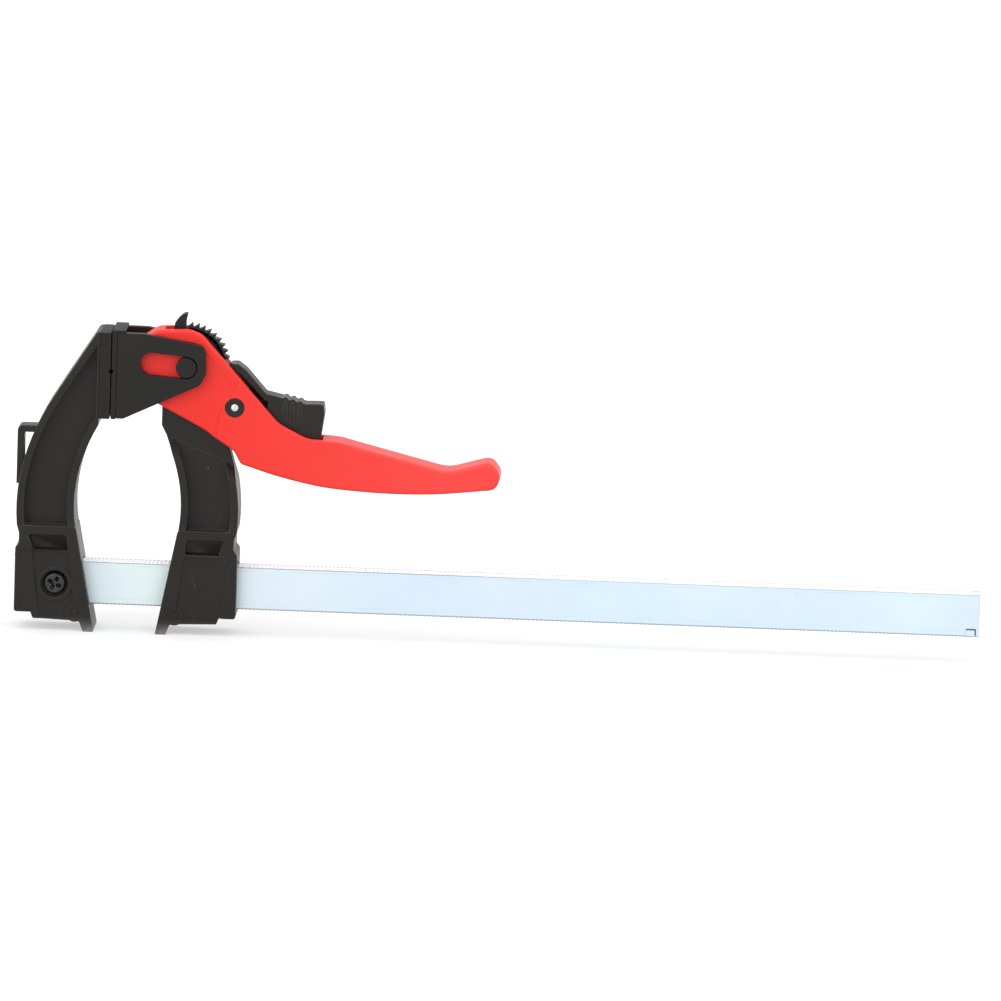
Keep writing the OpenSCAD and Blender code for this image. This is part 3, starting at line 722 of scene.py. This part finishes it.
plain = [
    # node, piece, material, body, edge radius in mm
    ("fixed_pad", "fixedPad", "pad", "base", 0.35),
    ("fixed_axles", "fixedAxleEnds", "nylon", "base", 0.25),
    ("fixed_sleeves", "fixedSleeves", "hard", "base", 0.2),
    ("bar_nut", "barNut", "blackened", "base", 0.2),
    ("sliding_arm", "slidingArm", "nylon", "jaw", 0.4),
    ("slide_axles", "slideAxleEnds", "nylon", "jaw", 0.25),
    ("slide_sleeves", "slideSleeves", "hard", "jaw", 0.2),
    ("sector_rivets", "sectorRivets", "hard", "jaw", 0.2),
    ("pusher", "pusherBracket", "pusher", "pusher", 0.4),
    ("moving_pad", "movingPad", "pad", "pusher", 0.35),
    ("release_bushes", "releaseBushes", "nylon", "lever", 0.25),
]
for node, name, material, body, width in plain:
    dressed(node, name, material, body, width)
print("moulded pieces dressed:", len(plain) + 1)


# Bar: rolled section with cross ridges along its two narrow edges
bar = {
    "ridgePitch": 1.55, "ridgeRise": 0.28, "ridgeRiseBelow": 0.14, "ridgeFoot": 1.25, "ridgeTop": 0.65,
    "sunk": 0.1,          # how far the ridges go into the bar
    "ridgeEnd": 0.7,      # from the bar's side to the ridges' ends
    "margin": 2.0,        # plain stretch at each end
    "stopFrom": 5.0, "stopLong": 3.4, "stopHigh": 2.8,
    "slotWide": 0.45, "slotDeep": 0.7,
    "edge": 0.15,
}
barLow, barHigh = lowest("bar"), highest("bar")
barHalf = barHigh.y

zincLook = {
    # the green shade is also lighter: partly the plating's tint, partly painted light against the shade
    # beside the sliding arm
    "cold": (0.665, 0.800, 0.905, 1), "greenTintAndLight": (0.775, 0.885, 0.875, 1), "lilac": (0.705, 0.785, 0.915, 1),
    # greys for rubbing marks and for painted dark reflections along the corners; near-black for painted
    # shade in the grooves and cuts
    "rubbedAndDarkReflection": (0.34, 0.38, 0.43, 1), "paintedShade": (0.22, 0.22, 0.23, 1), "darkReflectionGrey": (0.36, 0.39, 0.42, 1),
    # near white: a painted highlight on the ridges' tops
    "crest": (0.97, 0.975, 0.98, 1), "scuff": (0.47, 0.53, 0.57, 1),
    "lines": 800.0, "blotches": 28.0, "rough": 0.50, "roughSpread": 0.10, "lineDepth": 0.000012,
    "greenTo": -0.045, "blueFrom": -0.095,        # along the bar
    "grooveShadeFrom": 0.0026, "grooveShadeTo": 0.0034,           # across it
    # noises: scale, detail, roughness
    "drift": (9.0, 2.0, 0.5), "lilacDrift": (14.0, 2.0, 0.5), "streaks": (45.0, 3.0, 0.6),
    "scuffs": (170.0, 5.0, 0.75), "scuffPlaces": (16.0, 2.0, 0.5), "slow": (1, 0.3, 0.3),
    "greenAmount": 0.75, "driftAmount": 0.45, "blotchAmount": 0.10, "scuffAmount": 0.4, "darkReflectionAmount": 0.85,
}


# heights and widths of the bar's section, from its outside in mm
def fromTop(depth):
    return barHigh.z - depth * mm


def fromFoot(height):
    return barLow.z + height * mm


def fromSide(depth):
    return barHalf - depth * mm


def zinc(name, look):
    # clear zinc on drawn steel: slow drifts of tint, painted light beside the sliding arm, painted dark
    # reflections along the corners, painted shade between the ridges and in the cuts, and a painted
    # highlight on the ridges' tops
    material, tree, shader = newMaterial(name, Metallic=0.75)
    drawn = useGroup(tree, "drawn", Lines=look["lines"], Blotches=look["blotches"])
    place = coordinates(tree)
    # greener and lighter towards the sliding arm: the plating's tint, and painted light against the shade
    # there
    greenerAndLighter = spread(tree, place[0], look["greenTo"], look["blueFrom"], 0.0, look["greenAmount"])
    drift = noise(tree, *look["drift"], stretch=look["slow"])
    drift = spread(tree, drift, 0.45, 0.7, 0.0, look["driftAmount"])
    tinted = maths(tree, "ADD", greenerAndLighter, drift, clamp=True)
    colour = blendColours(tree, tinted, look["cold"], look["greenTintAndLight"])
    lilac = noise(tree, *look["lilacDrift"], stretch=look["slow"], offset=(3.1, 0, 0))
    colour = blendColours(tree, spread(tree, lilac, 0.45, 0.7), colour, look["lilac"])
    colour = blendColours(tree, times(tree, drawn["Blotch"], look["blotchAmount"]), colour, look["rubbedAndDarkReflection"])
    # faint lines that the drawing die left
    for height, amount in ((fromTop(1.5), 0.22), (fromFoot(2.3), 0.14)):
        off = maths(tree, "ABSOLUTE", maths(tree, "SUBTRACT", place[2], height))
        streak = noise(tree, *look["streaks"], stretch=(1, 0, 0), offset=(height * 90, 0, 0))
        streak = spread(tree, streak, 0.42, 0.6)
        line = spread(tree, off, 0.28 * mm, 0.05 * mm, 0.0, amount)
        colour = blendColours(tree, times(tree, line, streak), colour, look["rubbedAndDarkReflection"])
    # handling marks, small and few
    marks = spread(tree, noise(tree, *look["scuffs"], stretch=(1, 1, 2)), 0.63, 0.70)
    where = noise(tree, *look["scuffPlaces"], offset=(0.7, 0, 0))
    where = spread(tree, where, 0.52, 0.62, 0.0, look["scuffAmount"])
    colour = blendColours(tree, times(tree, marks, where), colour, look["scuff"])
    out = maths(tree, "ABSOLUTE", place[1])

    def rising(edge, low, high):
        return spread(tree, place[2], edge(low), edge(high))

    corner = spread(tree, out, fromSide(0.35), fromSide(0.65), 1.0, 0.0)
    top = times(tree, rising(fromTop, 0.75, 0.55), corner)
    bottom = rising(fromFoot, 0.75, 0.45)
    # painted highlight on the ridges' tops, standing in for their reflection of the bright surroundings
    crest = times(tree, rising(fromTop, 0.5, 0.4), maths(tree, "SUBTRACT", 1.0, corner))
    colour = blendColours(tree, crest, colour, look["crest"])
    # painted dark reflections along the top corners and the bottom edge
    colour = blendColours(tree, times(tree, top, look["darkReflectionAmount"]), colour, look["rubbedAndDarkReflection"])
    colour = blendColours(tree, times(tree, bottom, look["darkReflectionAmount"]), colour, look["darkReflectionGrey"])
    # painted shade between the ridges, and inside the cuts
    grooveShade = times(tree, rising(fromTop, 0.14, 0.2), rising(fromTop, 0.42, 0.34))
    grooveShade = times(tree, grooveShade, spread(tree, place[1], look["grooveShadeFrom"], look["grooveShadeTo"]))
    colour = blendColours(tree, grooveShade, colour, look["paintedShade"])
    inside = spread(tree, out, fromSide(0.1), fromSide(0.16))
    middle = times(tree, rising(fromTop, 0.7, 0.8), rising(fromFoot, 0.7, 0.8))
    colour = blendColours(tree, times(tree, inside, middle), colour, look["paintedShade"])
    rough = roughness(tree, drawn["Blotch"], look)
    coated(tree, shader, colour, rough, drawn["Height"], look["lineDepth"])
    return material


materials["zinc"] = zinc("zincPlate", zincLook)


def barBody():
    # the solid's section, with both narrow edges let down by the ridges' rise
    bm = cadCopy("bar")
    for vert in bm.verts:
        if vert.co.z > fromTop(0.01):
            vert.co.z -= bar["ridgeRise"] * mm
        elif vert.co.z < fromFoot(0.01):
            vert.co.z += bar["ridgeRiseBelow"] * mm
    piece = newPiece("steelBar", bm, materials["zinc"])
    # the sheared gap round the punched stop, above it and then beside it
    wide = bar["slotWide"] * mm
    left = barHigh.x - bar["stopFrom"] * mm
    right = left + bar["stopLong"] * mm
    top = fromFoot(bar["stopHigh"])
    for x, z, farX in ((left, top, right), (right, barLow.z - mm, right + wide)):
        gap = bmesh.new()
        slab(gap, [(x, z), (farX, z), (farX, top + wide), (x, top + wide)],
             -barHalf - 2 * mm, -fromSide(bar["slotDeep"]))
        cut(piece, gap)
    rounded(piece, bar["edge"], 2)
    return piece


def barRidges(side):
    # one ridge, then a row of them; side is 1 on the top edge and -1 below
    bm = bmesh.new()
    edge = barHigh.z if side > 0 else barLow.z
    foot, top = bar["ridgeFoot"] * mm / 2, bar["ridgeTop"] * mm / 2
    rise = bar["ridgeRise"] if side > 0 else bar["ridgeRiseBelow"]
    base = edge - side * (rise + bar["sunk"]) * mm
    start = barLow.x + bar["margin"] * mm
    slab(bm, [(start - foot, base), (start - top, edge), (start + top, edge), (start + foot, base)],
         -fromSide(bar["ridgeEnd"]), fromSide(bar["ridgeEnd"]))
    piece = newPiece("ridges", bm, materials["zinc"])
    pitch = bar["ridgePitch"] * mm
    count = int((barHigh.x - barLow.x - 2 * bar["margin"] * mm) / pitch)
    return grown(piece, "row", Count=count, Step=(pitch, 0, 0))


barPiece = barBody()
for side in (1, -1):
    joined(barPiece, barRidges(side))
settle(barPiece, "base", "bar")
print("bar and its ridges built")


# Bar screw: pan head with a tapered cross recess
screw = {
    "shank": 2.5, "head": 4.45, "rise": 2.5, "skirt": 0.8, "crown": 3.0, "chamfer": 0.4,
    "crossTurn": 27, "crossReach": 3.05, "crossFoot": 1.4, "crossWide": 1.7, "crossWideFoot": 0.85,
    "crossDeep": 2.1, "crossProud": 0.5, "crossFlare": (0.3, 0.15),
    "sides": 64, "edge": 0.07,
}


def makeScrew():
    front, rear = lowest("bar_screw").y / mm, highest("bar_screw").y / mm
    centre = (lowest("bar_screw") + highest("bar_screw")) / 2
    seat, chamfer = front + screw["rise"], screw["chamfer"]
    dome = [
        (front + (screw["rise"] - screw["skirt"]) * (1 - math.cos(a)),
         screw["crown"] + (screw["head"] - screw["crown"]) * math.sin(a))
        for a in (math.radians(10 * step) for step in range(10))
    ]
    profile = [(front, 0)] + dome + [
        (seat, screw["head"]), (seat, screw["shank"]),
        (rear - chamfer, screw["shank"]), (rear, screw["shank"] - chamfer), (rear, 0),
    ]
    bm = bmesh.new()
    turned(bm, centre, profile, screw["sides"])
    piece = newPiece("barScrew", bm, materials["screw"])
    longer, wider = screw["crossFlare"]
    levels = (
        (-screw["crossProud"], screw["crossReach"] + longer, screw["crossWide"] + wider),
        (screw["crossDeep"], screw["crossFoot"], screw["crossWideFoot"]),
    )
    for turn in (screw["crossTurn"], screw["crossTurn"] + 90):
        cutter = bmesh.new()
        corners = []
        for depth, reach, wide in levels:
            corners += [
                cutter.verts.new((a * reach * mm, (front + depth) * mm, b * wide / 2 * mm))
                for a, b in ((-1, -1), (1, -1), (1, 1), (-1, 1))
            ]
        for face in ((0, 1, 2, 3), (7, 6, 5, 4), (0, 4, 5, 1), (1, 5, 6, 2), (2, 6, 7, 3), (3, 7, 4, 0)):
            cutter.faces.new([corners[index] for index in face])
        bmesh.ops.recalc_face_normals(cutter, faces=cutter.faces)
        bmesh.ops.rotate(cutter, verts=cutter.verts, matrix=Matrix.Rotation(math.radians(turn), 3, "Y"))
        bmesh.ops.translate(cutter, verts=cutter.verts, vec=(centre.x, 0, centre.z))
        cut(piece, cutter)
    rounded(piece, screw["edge"], 1)
    return settle(piece, "base", "bar_screw")


makeScrew()
print("bar screw built")


# Ratchet sector: a plate with a hooked stop tooth, and a fan of saw teeth
sector = {
    "root": 14.8, "tip": 16.7, "first": 84.4, "step": 9.1, "count": 12, "valley": 1.4, "last": -28,
    "backs": [(5.6, 0.16), (3.6, 0.47), (1.6, 0.78)],   # degrees behind the tip, share of the tooth's height
    "neck": 11.0, "drop": 9.5, "front": 8.3, "foot": 1.5, "chamfer": 2.0, "frontTop": 3.0, "rimSteps": 30,
    "rear": [(11.0, 150), (14.2, 126), (14.8, 113)],   # radius, degrees
    "stop": 20.3, "stopAt": 93.7,
    # in from the stop's radius, degrees behind it
    "hook": [(3.2, 14.4), (1.6, 8.4), (0.5, 3.4), (0, 0.2), (0.1, -3), (1.4, -2.3), (2.6, -1)],
    "edge": 0.15, "toothEdge": 0.06,
}


def sectorPlate(front, rear):
    neck, drop, face, chamfer, frontTop = (
        sector[key] * mm for key in ("neck", "drop", "front", "chamfer", "frontTop")
    )
    outline = [(neck, chamfer - drop), (neck - chamfer, -drop), (-face, -drop), (-face, -frontTop)]
    outline += [polar(radius, angle) for radius, angle in sector["rear"]]
    outline += [polar(sector["stop"] - below, sector["stopAt"] + before) for below, before in sector["hook"]]
    outline.append(polar(sector["root"], sector["stopAt"]))
    start = sector["first"] + sector["step"] - sector["valley"]
    steps = sector["rimSteps"]
    for step in range(steps + 1):
        outline.append(polar(sector["root"], start + (sector["last"] - start) * step / steps))
    bm = bmesh.new()
    slab(bm, [(pivotAt.x + x, pivotAt.z + z) for x, z in outline], front, rear)
    piece = newPiece("ratchetSector", bm, materials["blackened"])
    rounded(piece, sector["edge"], 2)
    return piece


def sectorTeeth(front, rear):
    root, tip, first = sector["root"], sector["tip"], sector["first"]
    foot = root - sector["foot"]
    ahead, behind = first - sector["valley"], first + (sector["step"] - sector["valley"])
    tooth = [polar(foot, ahead), polar(foot, behind), polar(root, behind)]
    tooth += [polar(root + (tip - root) * share, first + back) for back, share in sector["backs"]]
    tooth += [polar(tip, first), polar(root, ahead)]
    bm = bmesh.new()
    slab(bm, tooth, front, rear)
    piece = newPiece("teeth", bm, materials["blackened"])
    rounded(piece, sector["toothEdge"], 1)
    return grown(piece, "row", Count=sector["count"], Angle=math.radians(sector["step"]),
                 Start=(pivotAt.x, 0, pivotAt.z))


low, high = lowest("ratchet_sector").y, highest("ratchet_sector").y
settle(joined(sectorPlate(low, high), sectorTeeth(low, high)), "jaw", "ratchet_sector")
print("ratchet sector built")


# Pins and the spring
pivotPin = {
    "head": 4.05, "headBack": -7.2, "shank": 3.0, "round": 0.45, "face": 0.3, "chamfer": 0.3, "sides": 64,
    "dimple": [(0.35, 0), (0.1, 0.45), (0, 0.7)],   # depth, radius
    "edge": 0.06,
}
releasePin = {"radius": 1.65, "dome": 0.3, "chamfer": 0.35, "sides": 40, "edge": 0.06}
spring = {
    "coil": 3.2, "wire": 0.4, "sides": 12, "coilFrom": 3.5, "coilTo": 1.8,
    "turns": 2, "legTurn": 45, "step": 10, "leg": 8.9,
}


def makePivotPin():
    front, rear = lowest("pivot_pin").y / mm, highest("pivot_pin").y / mm
    head, roundness, shank, chamfer = (pivotPin[key] for key in ("head", "round", "shank", "chamfer"))
    profile = [(front + depth, radius) for depth, radius in pivotPin["dimple"]]
    profile.append((front, head - roundness - pivotPin["face"]))
    profile += [
        (front + roundness * (1 - math.cos(a)), head - roundness + roundness * math.sin(a))
        for a in (math.radians(22.5 * step) for step in range(5))
    ]
    profile += [(pivotPin["headBack"], head), (pivotPin["headBack"], shank),
                (rear - chamfer, shank), (rear, shank - chamfer), (rear, 0)]
    bm = bmesh.new()
    turned(bm, pivotAt, profile, pivotPin["sides"])
    piece = newPiece("pivotPin", bm, materials["blackened"])
    rounded(piece, pivotPin["edge"], 1)
    return settle(piece, "jaw", "pivot_pin")


def makeReleasePin():
    rear = highest("release_pin").y / mm
    radius, dome, chamfer = (releasePin[key] for key in ("radius", "dome", "chamfer"))
    half = [(rear, 0), (rear - dome * 0.25, radius * 0.45), (rear - dome, radius - chamfer),
            (rear - dome - chamfer, radius)]
    bm = bmesh.new()
    turned(bm, releaseAt, [(-y, r) for y, r in half] + list(reversed(half)), releasePin["sides"])
    piece = newPiece("releasePin", bm, materials["bright"])
    rounded(piece, releasePin["edge"], 1)
    return settle(piece, "lever", "release_pin")


def makeSpring():
    # one leg on the lever's floor, the coil round the pin, one leg under the flange
    turn = 360 * spring["turns"] - 90 + spring["legTurn"]
    points = [(releaseAt.x + spring["coil"] * mm, spring["coilFrom"] * mm, lowest("release_spring").z)]
    for step in range(0, turn + 1, spring["step"]):
        x, z = polar(spring["coil"], step, releaseAt)
        across = spring["coilFrom"] + (spring["coilTo"] - spring["coilFrom"]) * step / turn
        points.append((x, across * mm, z))
    x, z = polar(spring["coil"], turn, releaseAt)
    away = math.radians(turn + 90)
    reach = spring["leg"] * mm
    points.append((x + reach * math.cos(away), spring["coilTo"] * mm, z + reach * math.sin(away)))
    bm = bmesh.new()
    verts = [bm.verts.new(point) for point in points]
    for first, after in zip(verts, verts[1:]):
        bm.edges.new((first, after))
    piece = newPiece("releaseSpring", bm, materials["bright"])
    grown(piece, "wire", Radius=spring["wire"] * mm, Sides=spring["sides"])
    return settle(piece, "lever", "release_spring")


makePivotPin()
dressed("pivot_collar", "pivotCollar", "blackened", "jaw", 0.4, 3)
makeReleasePin()
makeSpring()
print("pins and spring built")


# Lever: its edges are rounded by how the hand meets them, in mm
lever = {
    "widest": 1.8, "handleTop": 1.5, "wallTop": 0.9, "hubTop": 1.4, "bottom": 1.2, "tip": 1.8,
    "channel": 0.3, "panel": 0.1, "step": 0.45, "bore": 0.2, "corner": 0.3,
    "hubTo": 14.0, "wallFrom": 22.0, "wallTo": 54.0, "handleFrom": 66.0, "tipFrom": 116.0,
    "panelDeep": 0.6, "stepDeep": 1.5,            # walls lower than these belong to the panel and the step
    "pivotBore": 3.6, "releaseBore": 4.3, "channelHalf": 6.0,
    "splits": (8, 14, 20, 54, 57, 60, 63, 66, 112, 114, 116),
    # along the handle, and how far its underside is let down there to run in one curve
    "under": [(24, 0), (37, 0.9), (53, 1.0), (68, 0.8), (83, -0.1), (98, 0.2), (115, 0)],
    "underStep": 2.2,
    "underReach": 7.0,    # how high up the sides this fades out
}


def between(value, low, high, first, second):
    share = min(max((value - low) / (high - low), 0), 1)
    return first + (second - first) * share


def leverEdge(edge):
    wall = min(edge.link_faces, key=lambda face: abs(face.normal.y))
    side = max(edge.link_faces, key=lambda face: abs(face.normal.y))
    if abs(side.normal.y) < 0.9:
        return lever["corner"]
    depths = [vert.co.y / mm for vert in wall.verts]
    depth = max(depths) - min(depths)
    if depth < lever["stepDeep"]:
        return lever["panel" if depth < lever["panelDeep"] else "step"]
    middle = (edge.verts[0].co + edge.verts[1].co) / 2
    at = (middle - pivotAt) / mm
    toRelease = (middle - releaseAt) / mm
    nearPivot = math.hypot(at.x, at.z) < lever["pivotBore"]
    if nearPivot or math.hypot(toRelease.x, toRelease.z) < lever["releaseBore"]:
        return lever["bore"]
    if abs(at.y) < lever["channelHalf"]:
        return lever["channel"]
    if at.x > lever["tipFrom"]:
        return lever["tip"]
    if wall.normal.z < 0:
        return lever["bottom"]
    if at.x < lever["wallTo"]:
        return between(at.x, lever["hubTo"], lever["wallFrom"], lever["hubTop"], lever["wallTop"])
    return between(at.x, lever["wallTo"], lever["handleFrom"], lever["wallTop"], lever["handleTop"])


def straightAt(places, x):
    # height at x on the straight stretches between the places, which are (x, height)
    for (nearX, near), (farX, far) in zip(places, places[1:]):
        if x <= farX:
            break
    return between(x, nearX, farX, near, far)


def smoothAt(places, x):
    # the same, on a smooth curve through the places
    last = len(places) - 1
    slopes = []
    for index in range(last + 1):
        before, after = places[max(index - 1, 0)], places[min(index + 1, last)]
        slopes.append((after[1] - before[1]) / (after[0] - before[0]))
    for (nearX, near), (farX, far), out, into in zip(places, places[1:], slopes, slopes[1:]):
        if x <= farX:
            break
    span = farX - nearX
    t = (x - nearX) / span
    ends = near + (far - near) * t * t * (3 - 2 * t)
    return ends + span * t * (1 - t) * (out * (1 - t) - into * t)


def easeUnderside(mesh):
    # cuts the handle across at even steps and lets its underside down onto the smooth curve
    bm = bmesh.new()
    bm.from_mesh(mesh)
    start, end = (pivotAt.x + lever["under"][index][0] * mm for index in (0, -1))
    steps = round((end - start) / (lever["underStep"] * mm))
    lows = []
    for step in range(steps + 1):
        at = start + (end - start) * step / steps
        everything = list(bm.verts) + list(bm.edges) + list(bm.faces)
        bmesh.ops.bisect_plane(bm, geom=everything, plane_co=(at, 0, 0), plane_no=(1, 0, 0))
        lows.append((at, min(vert.co.z for vert in bm.verts if abs(vert.co.x - at) < 1e-6)))
    places = [
        (pivotAt.x + along * mm, straightAt(lows, pivotAt.x + along * mm) - drop * mm)
        for along, drop in lever["under"]
    ]
    for vert in bm.verts:
        if start <= vert.co.x <= end:
            low = straightAt(lows, vert.co.x)
            share = between(vert.co.z, low, low + lever["underReach"] * mm, 1, 0)
            vert.co.z += (smoothAt(places, vert.co.x) - low) * share * share * (3 - 2 * share)
    bm.to_mesh(mesh)
    bm.free()


dressed("lever", "leverBody", "red", "lever", lever["widest"], 4, leverEdge, lever["splits"], easeUnderside)
print("lever dressed")


# Release lever: the moulding, with shallow flutes down the thumb piece's sides
thumb = {
    "edge": 0.3, "flutes": 3, "pitch": 2.85, "drop": 0.65, "first": 38.5, "wide": 1.3, "rise": 0.32,
    "sunk": 0.05, "around": 6, "top": -12.4, "foot": -20.0, "fade": (1.0, 0.7, 0.05),
}


def thumbFlutes(side):
    # half-round flutes, each a thin wedge that fades out downwards
    face = side * highest("release_lever").y
    bm = bmesh.new()
    x = pivotAt.x + thumb["first"] * mm
    top, foot, steps = thumb["top"], thumb["foot"], thumb["around"]
    rings = []
    for level, share in zip((top, (top + foot) / 2, foot), thumb["fade"]):
        around = [math.pi * step / steps for step in range(steps + 1)]
        rings.append([
            bm.verts.new((
                x + thumb["wide"] / 2 * mm * math.cos(a),
                face + side * (thumb["rise"] * share * math.sin(a) - thumb["sunk"]) * mm,
                pivotAt.z + level * mm,
            ))
            for a in around
        ])
    for upper, under in zip(rings, rings[1:]):
        for step in range(steps):
            bm.faces.new((upper[step], upper[step + 1], under[step + 1], under[step]))
        bm.faces.new((upper[steps], upper[0], under[0], under[steps]))
    bm.faces.new(rings[0])
    bm.faces.new(rings[-1])
    bmesh.ops.recalc_face_normals(bm, faces=bm.faces)
    piece = newPiece("flutes", bm, materials["nylon"])
    return grown(piece, "row", Count=thumb["flutes"], Step=(thumb["pitch"] * mm, 0, -thumb["drop"] * mm))


releaseLever = dressed("release_lever", "releaseLever", "nylon", "release", thumb["edge"], 3)
for side in (1, -1):
    joined(releaseLever, thumbFlutes(side))
print("release lever built")


# Stage: a white floor that glows for the camera away from the clamp and keeps its soft shadow near it
stage = {
    "floorSize": 7.0, "floorColour": (0.56, 0.56, 0.56, 1), "floorRough": 0.9,
    "liftNear": 0.47, "liftFar": 1.0, "nearTo": 0.25, "farFrom": 0.8,
    "skyShown": 1.0, "skyLight": 0.82,
}


def seenDirectly(tree):
    # 1 for what the camera, a reflection or a transmission sees, 0 for what lights the clamp
    path = tree.nodes.new("ShaderNodeLightPath").outputs
    seen = maths(tree, "MAXIMUM", path["Is Camera Ray"], path["Is Glossy Ray"])
    return maths(tree, "MAXIMUM", seen, path["Is Transmission Ray"])


def makeFloor():
    bm = bmesh.new()
    bmesh.ops.create_grid(bm, x_segments=1, y_segments=1, size=stage["floorSize"] / 2)
    material, tree, shader = newMaterial("floorWhite", Base_Color=stage["floorColour"],
                                         Roughness=stage["floorRough"], Specular_IOR_Level=0.0)
    away = addNode(tree, "ShaderNodeVectorMath", {"operation": "LENGTH"}, i0=objectPlace(tree))
    lift = spread(tree, away.outputs["Value"], stage["nearTo"], stage["farFrom"],
                  stage["liftNear"], stage["liftFar"])
    glow = addNode(tree, "ShaderNodeEmission", Strength=times(tree, seenDirectly(tree), lift))
    both = addNode(tree, "ShaderNodeAddShader", i0=shader.outputs[0], i1=glow.outputs[0])
    wire(tree, both.outputs[0], tree.nodes["Material Output"].inputs[0])
    newPiece("floor", bm, material)


def makeWorld():
    world = bpy.data.worlds.new("studio")
    scene.world = world
    world.use_nodes = True
    tree = world.node_tree
    background = tree.nodes["Background"]
    strength = spread(tree, seenDirectly(tree), 0.0, 1.0, stage["skyLight"], stage["skyShown"])
    wire(tree, strength, background.inputs["Strength"])
    background.inputs["Color"].default_value = (1, 1, 1, 1)


lamps = [
    # name, place, aim, size, power
    ("keyPanel", (-1.3, -1.5, 1.3), (0, 0, 0.06), 2.2, 17.0),
    ("fillPanel", (1.6, -1.3, 0.9), (0, 0, 0.06), 2.2, 8.5),
    ("topPanel", (0.0, 0.2, 2.2), (0, 0, 0.05), 2.4, 16.0),
    ("glintLamp", (-0.5, -1.6, 0.9), (-0.1, 0, 0.06), 0.12, 0.8),
]


def makeLamps():
    for name, place, aim, size, power in lamps:
        data = bpy.data.lights.new(name, "AREA")
        data.size = size
        data.energy = power
        lamp = bpy.data.objects.new(name, data)
        lamp.location = place
        lamp.rotation_euler = (Vector(aim) - Vector(place)).to_track_quat("-Z", "Y").to_euler()
        scene.collection.objects.link(lamp)


makeFloor()
makeWorld()
makeLamps()
scene.view_settings.view_transform = "Standard"
print("stage and lamps set")
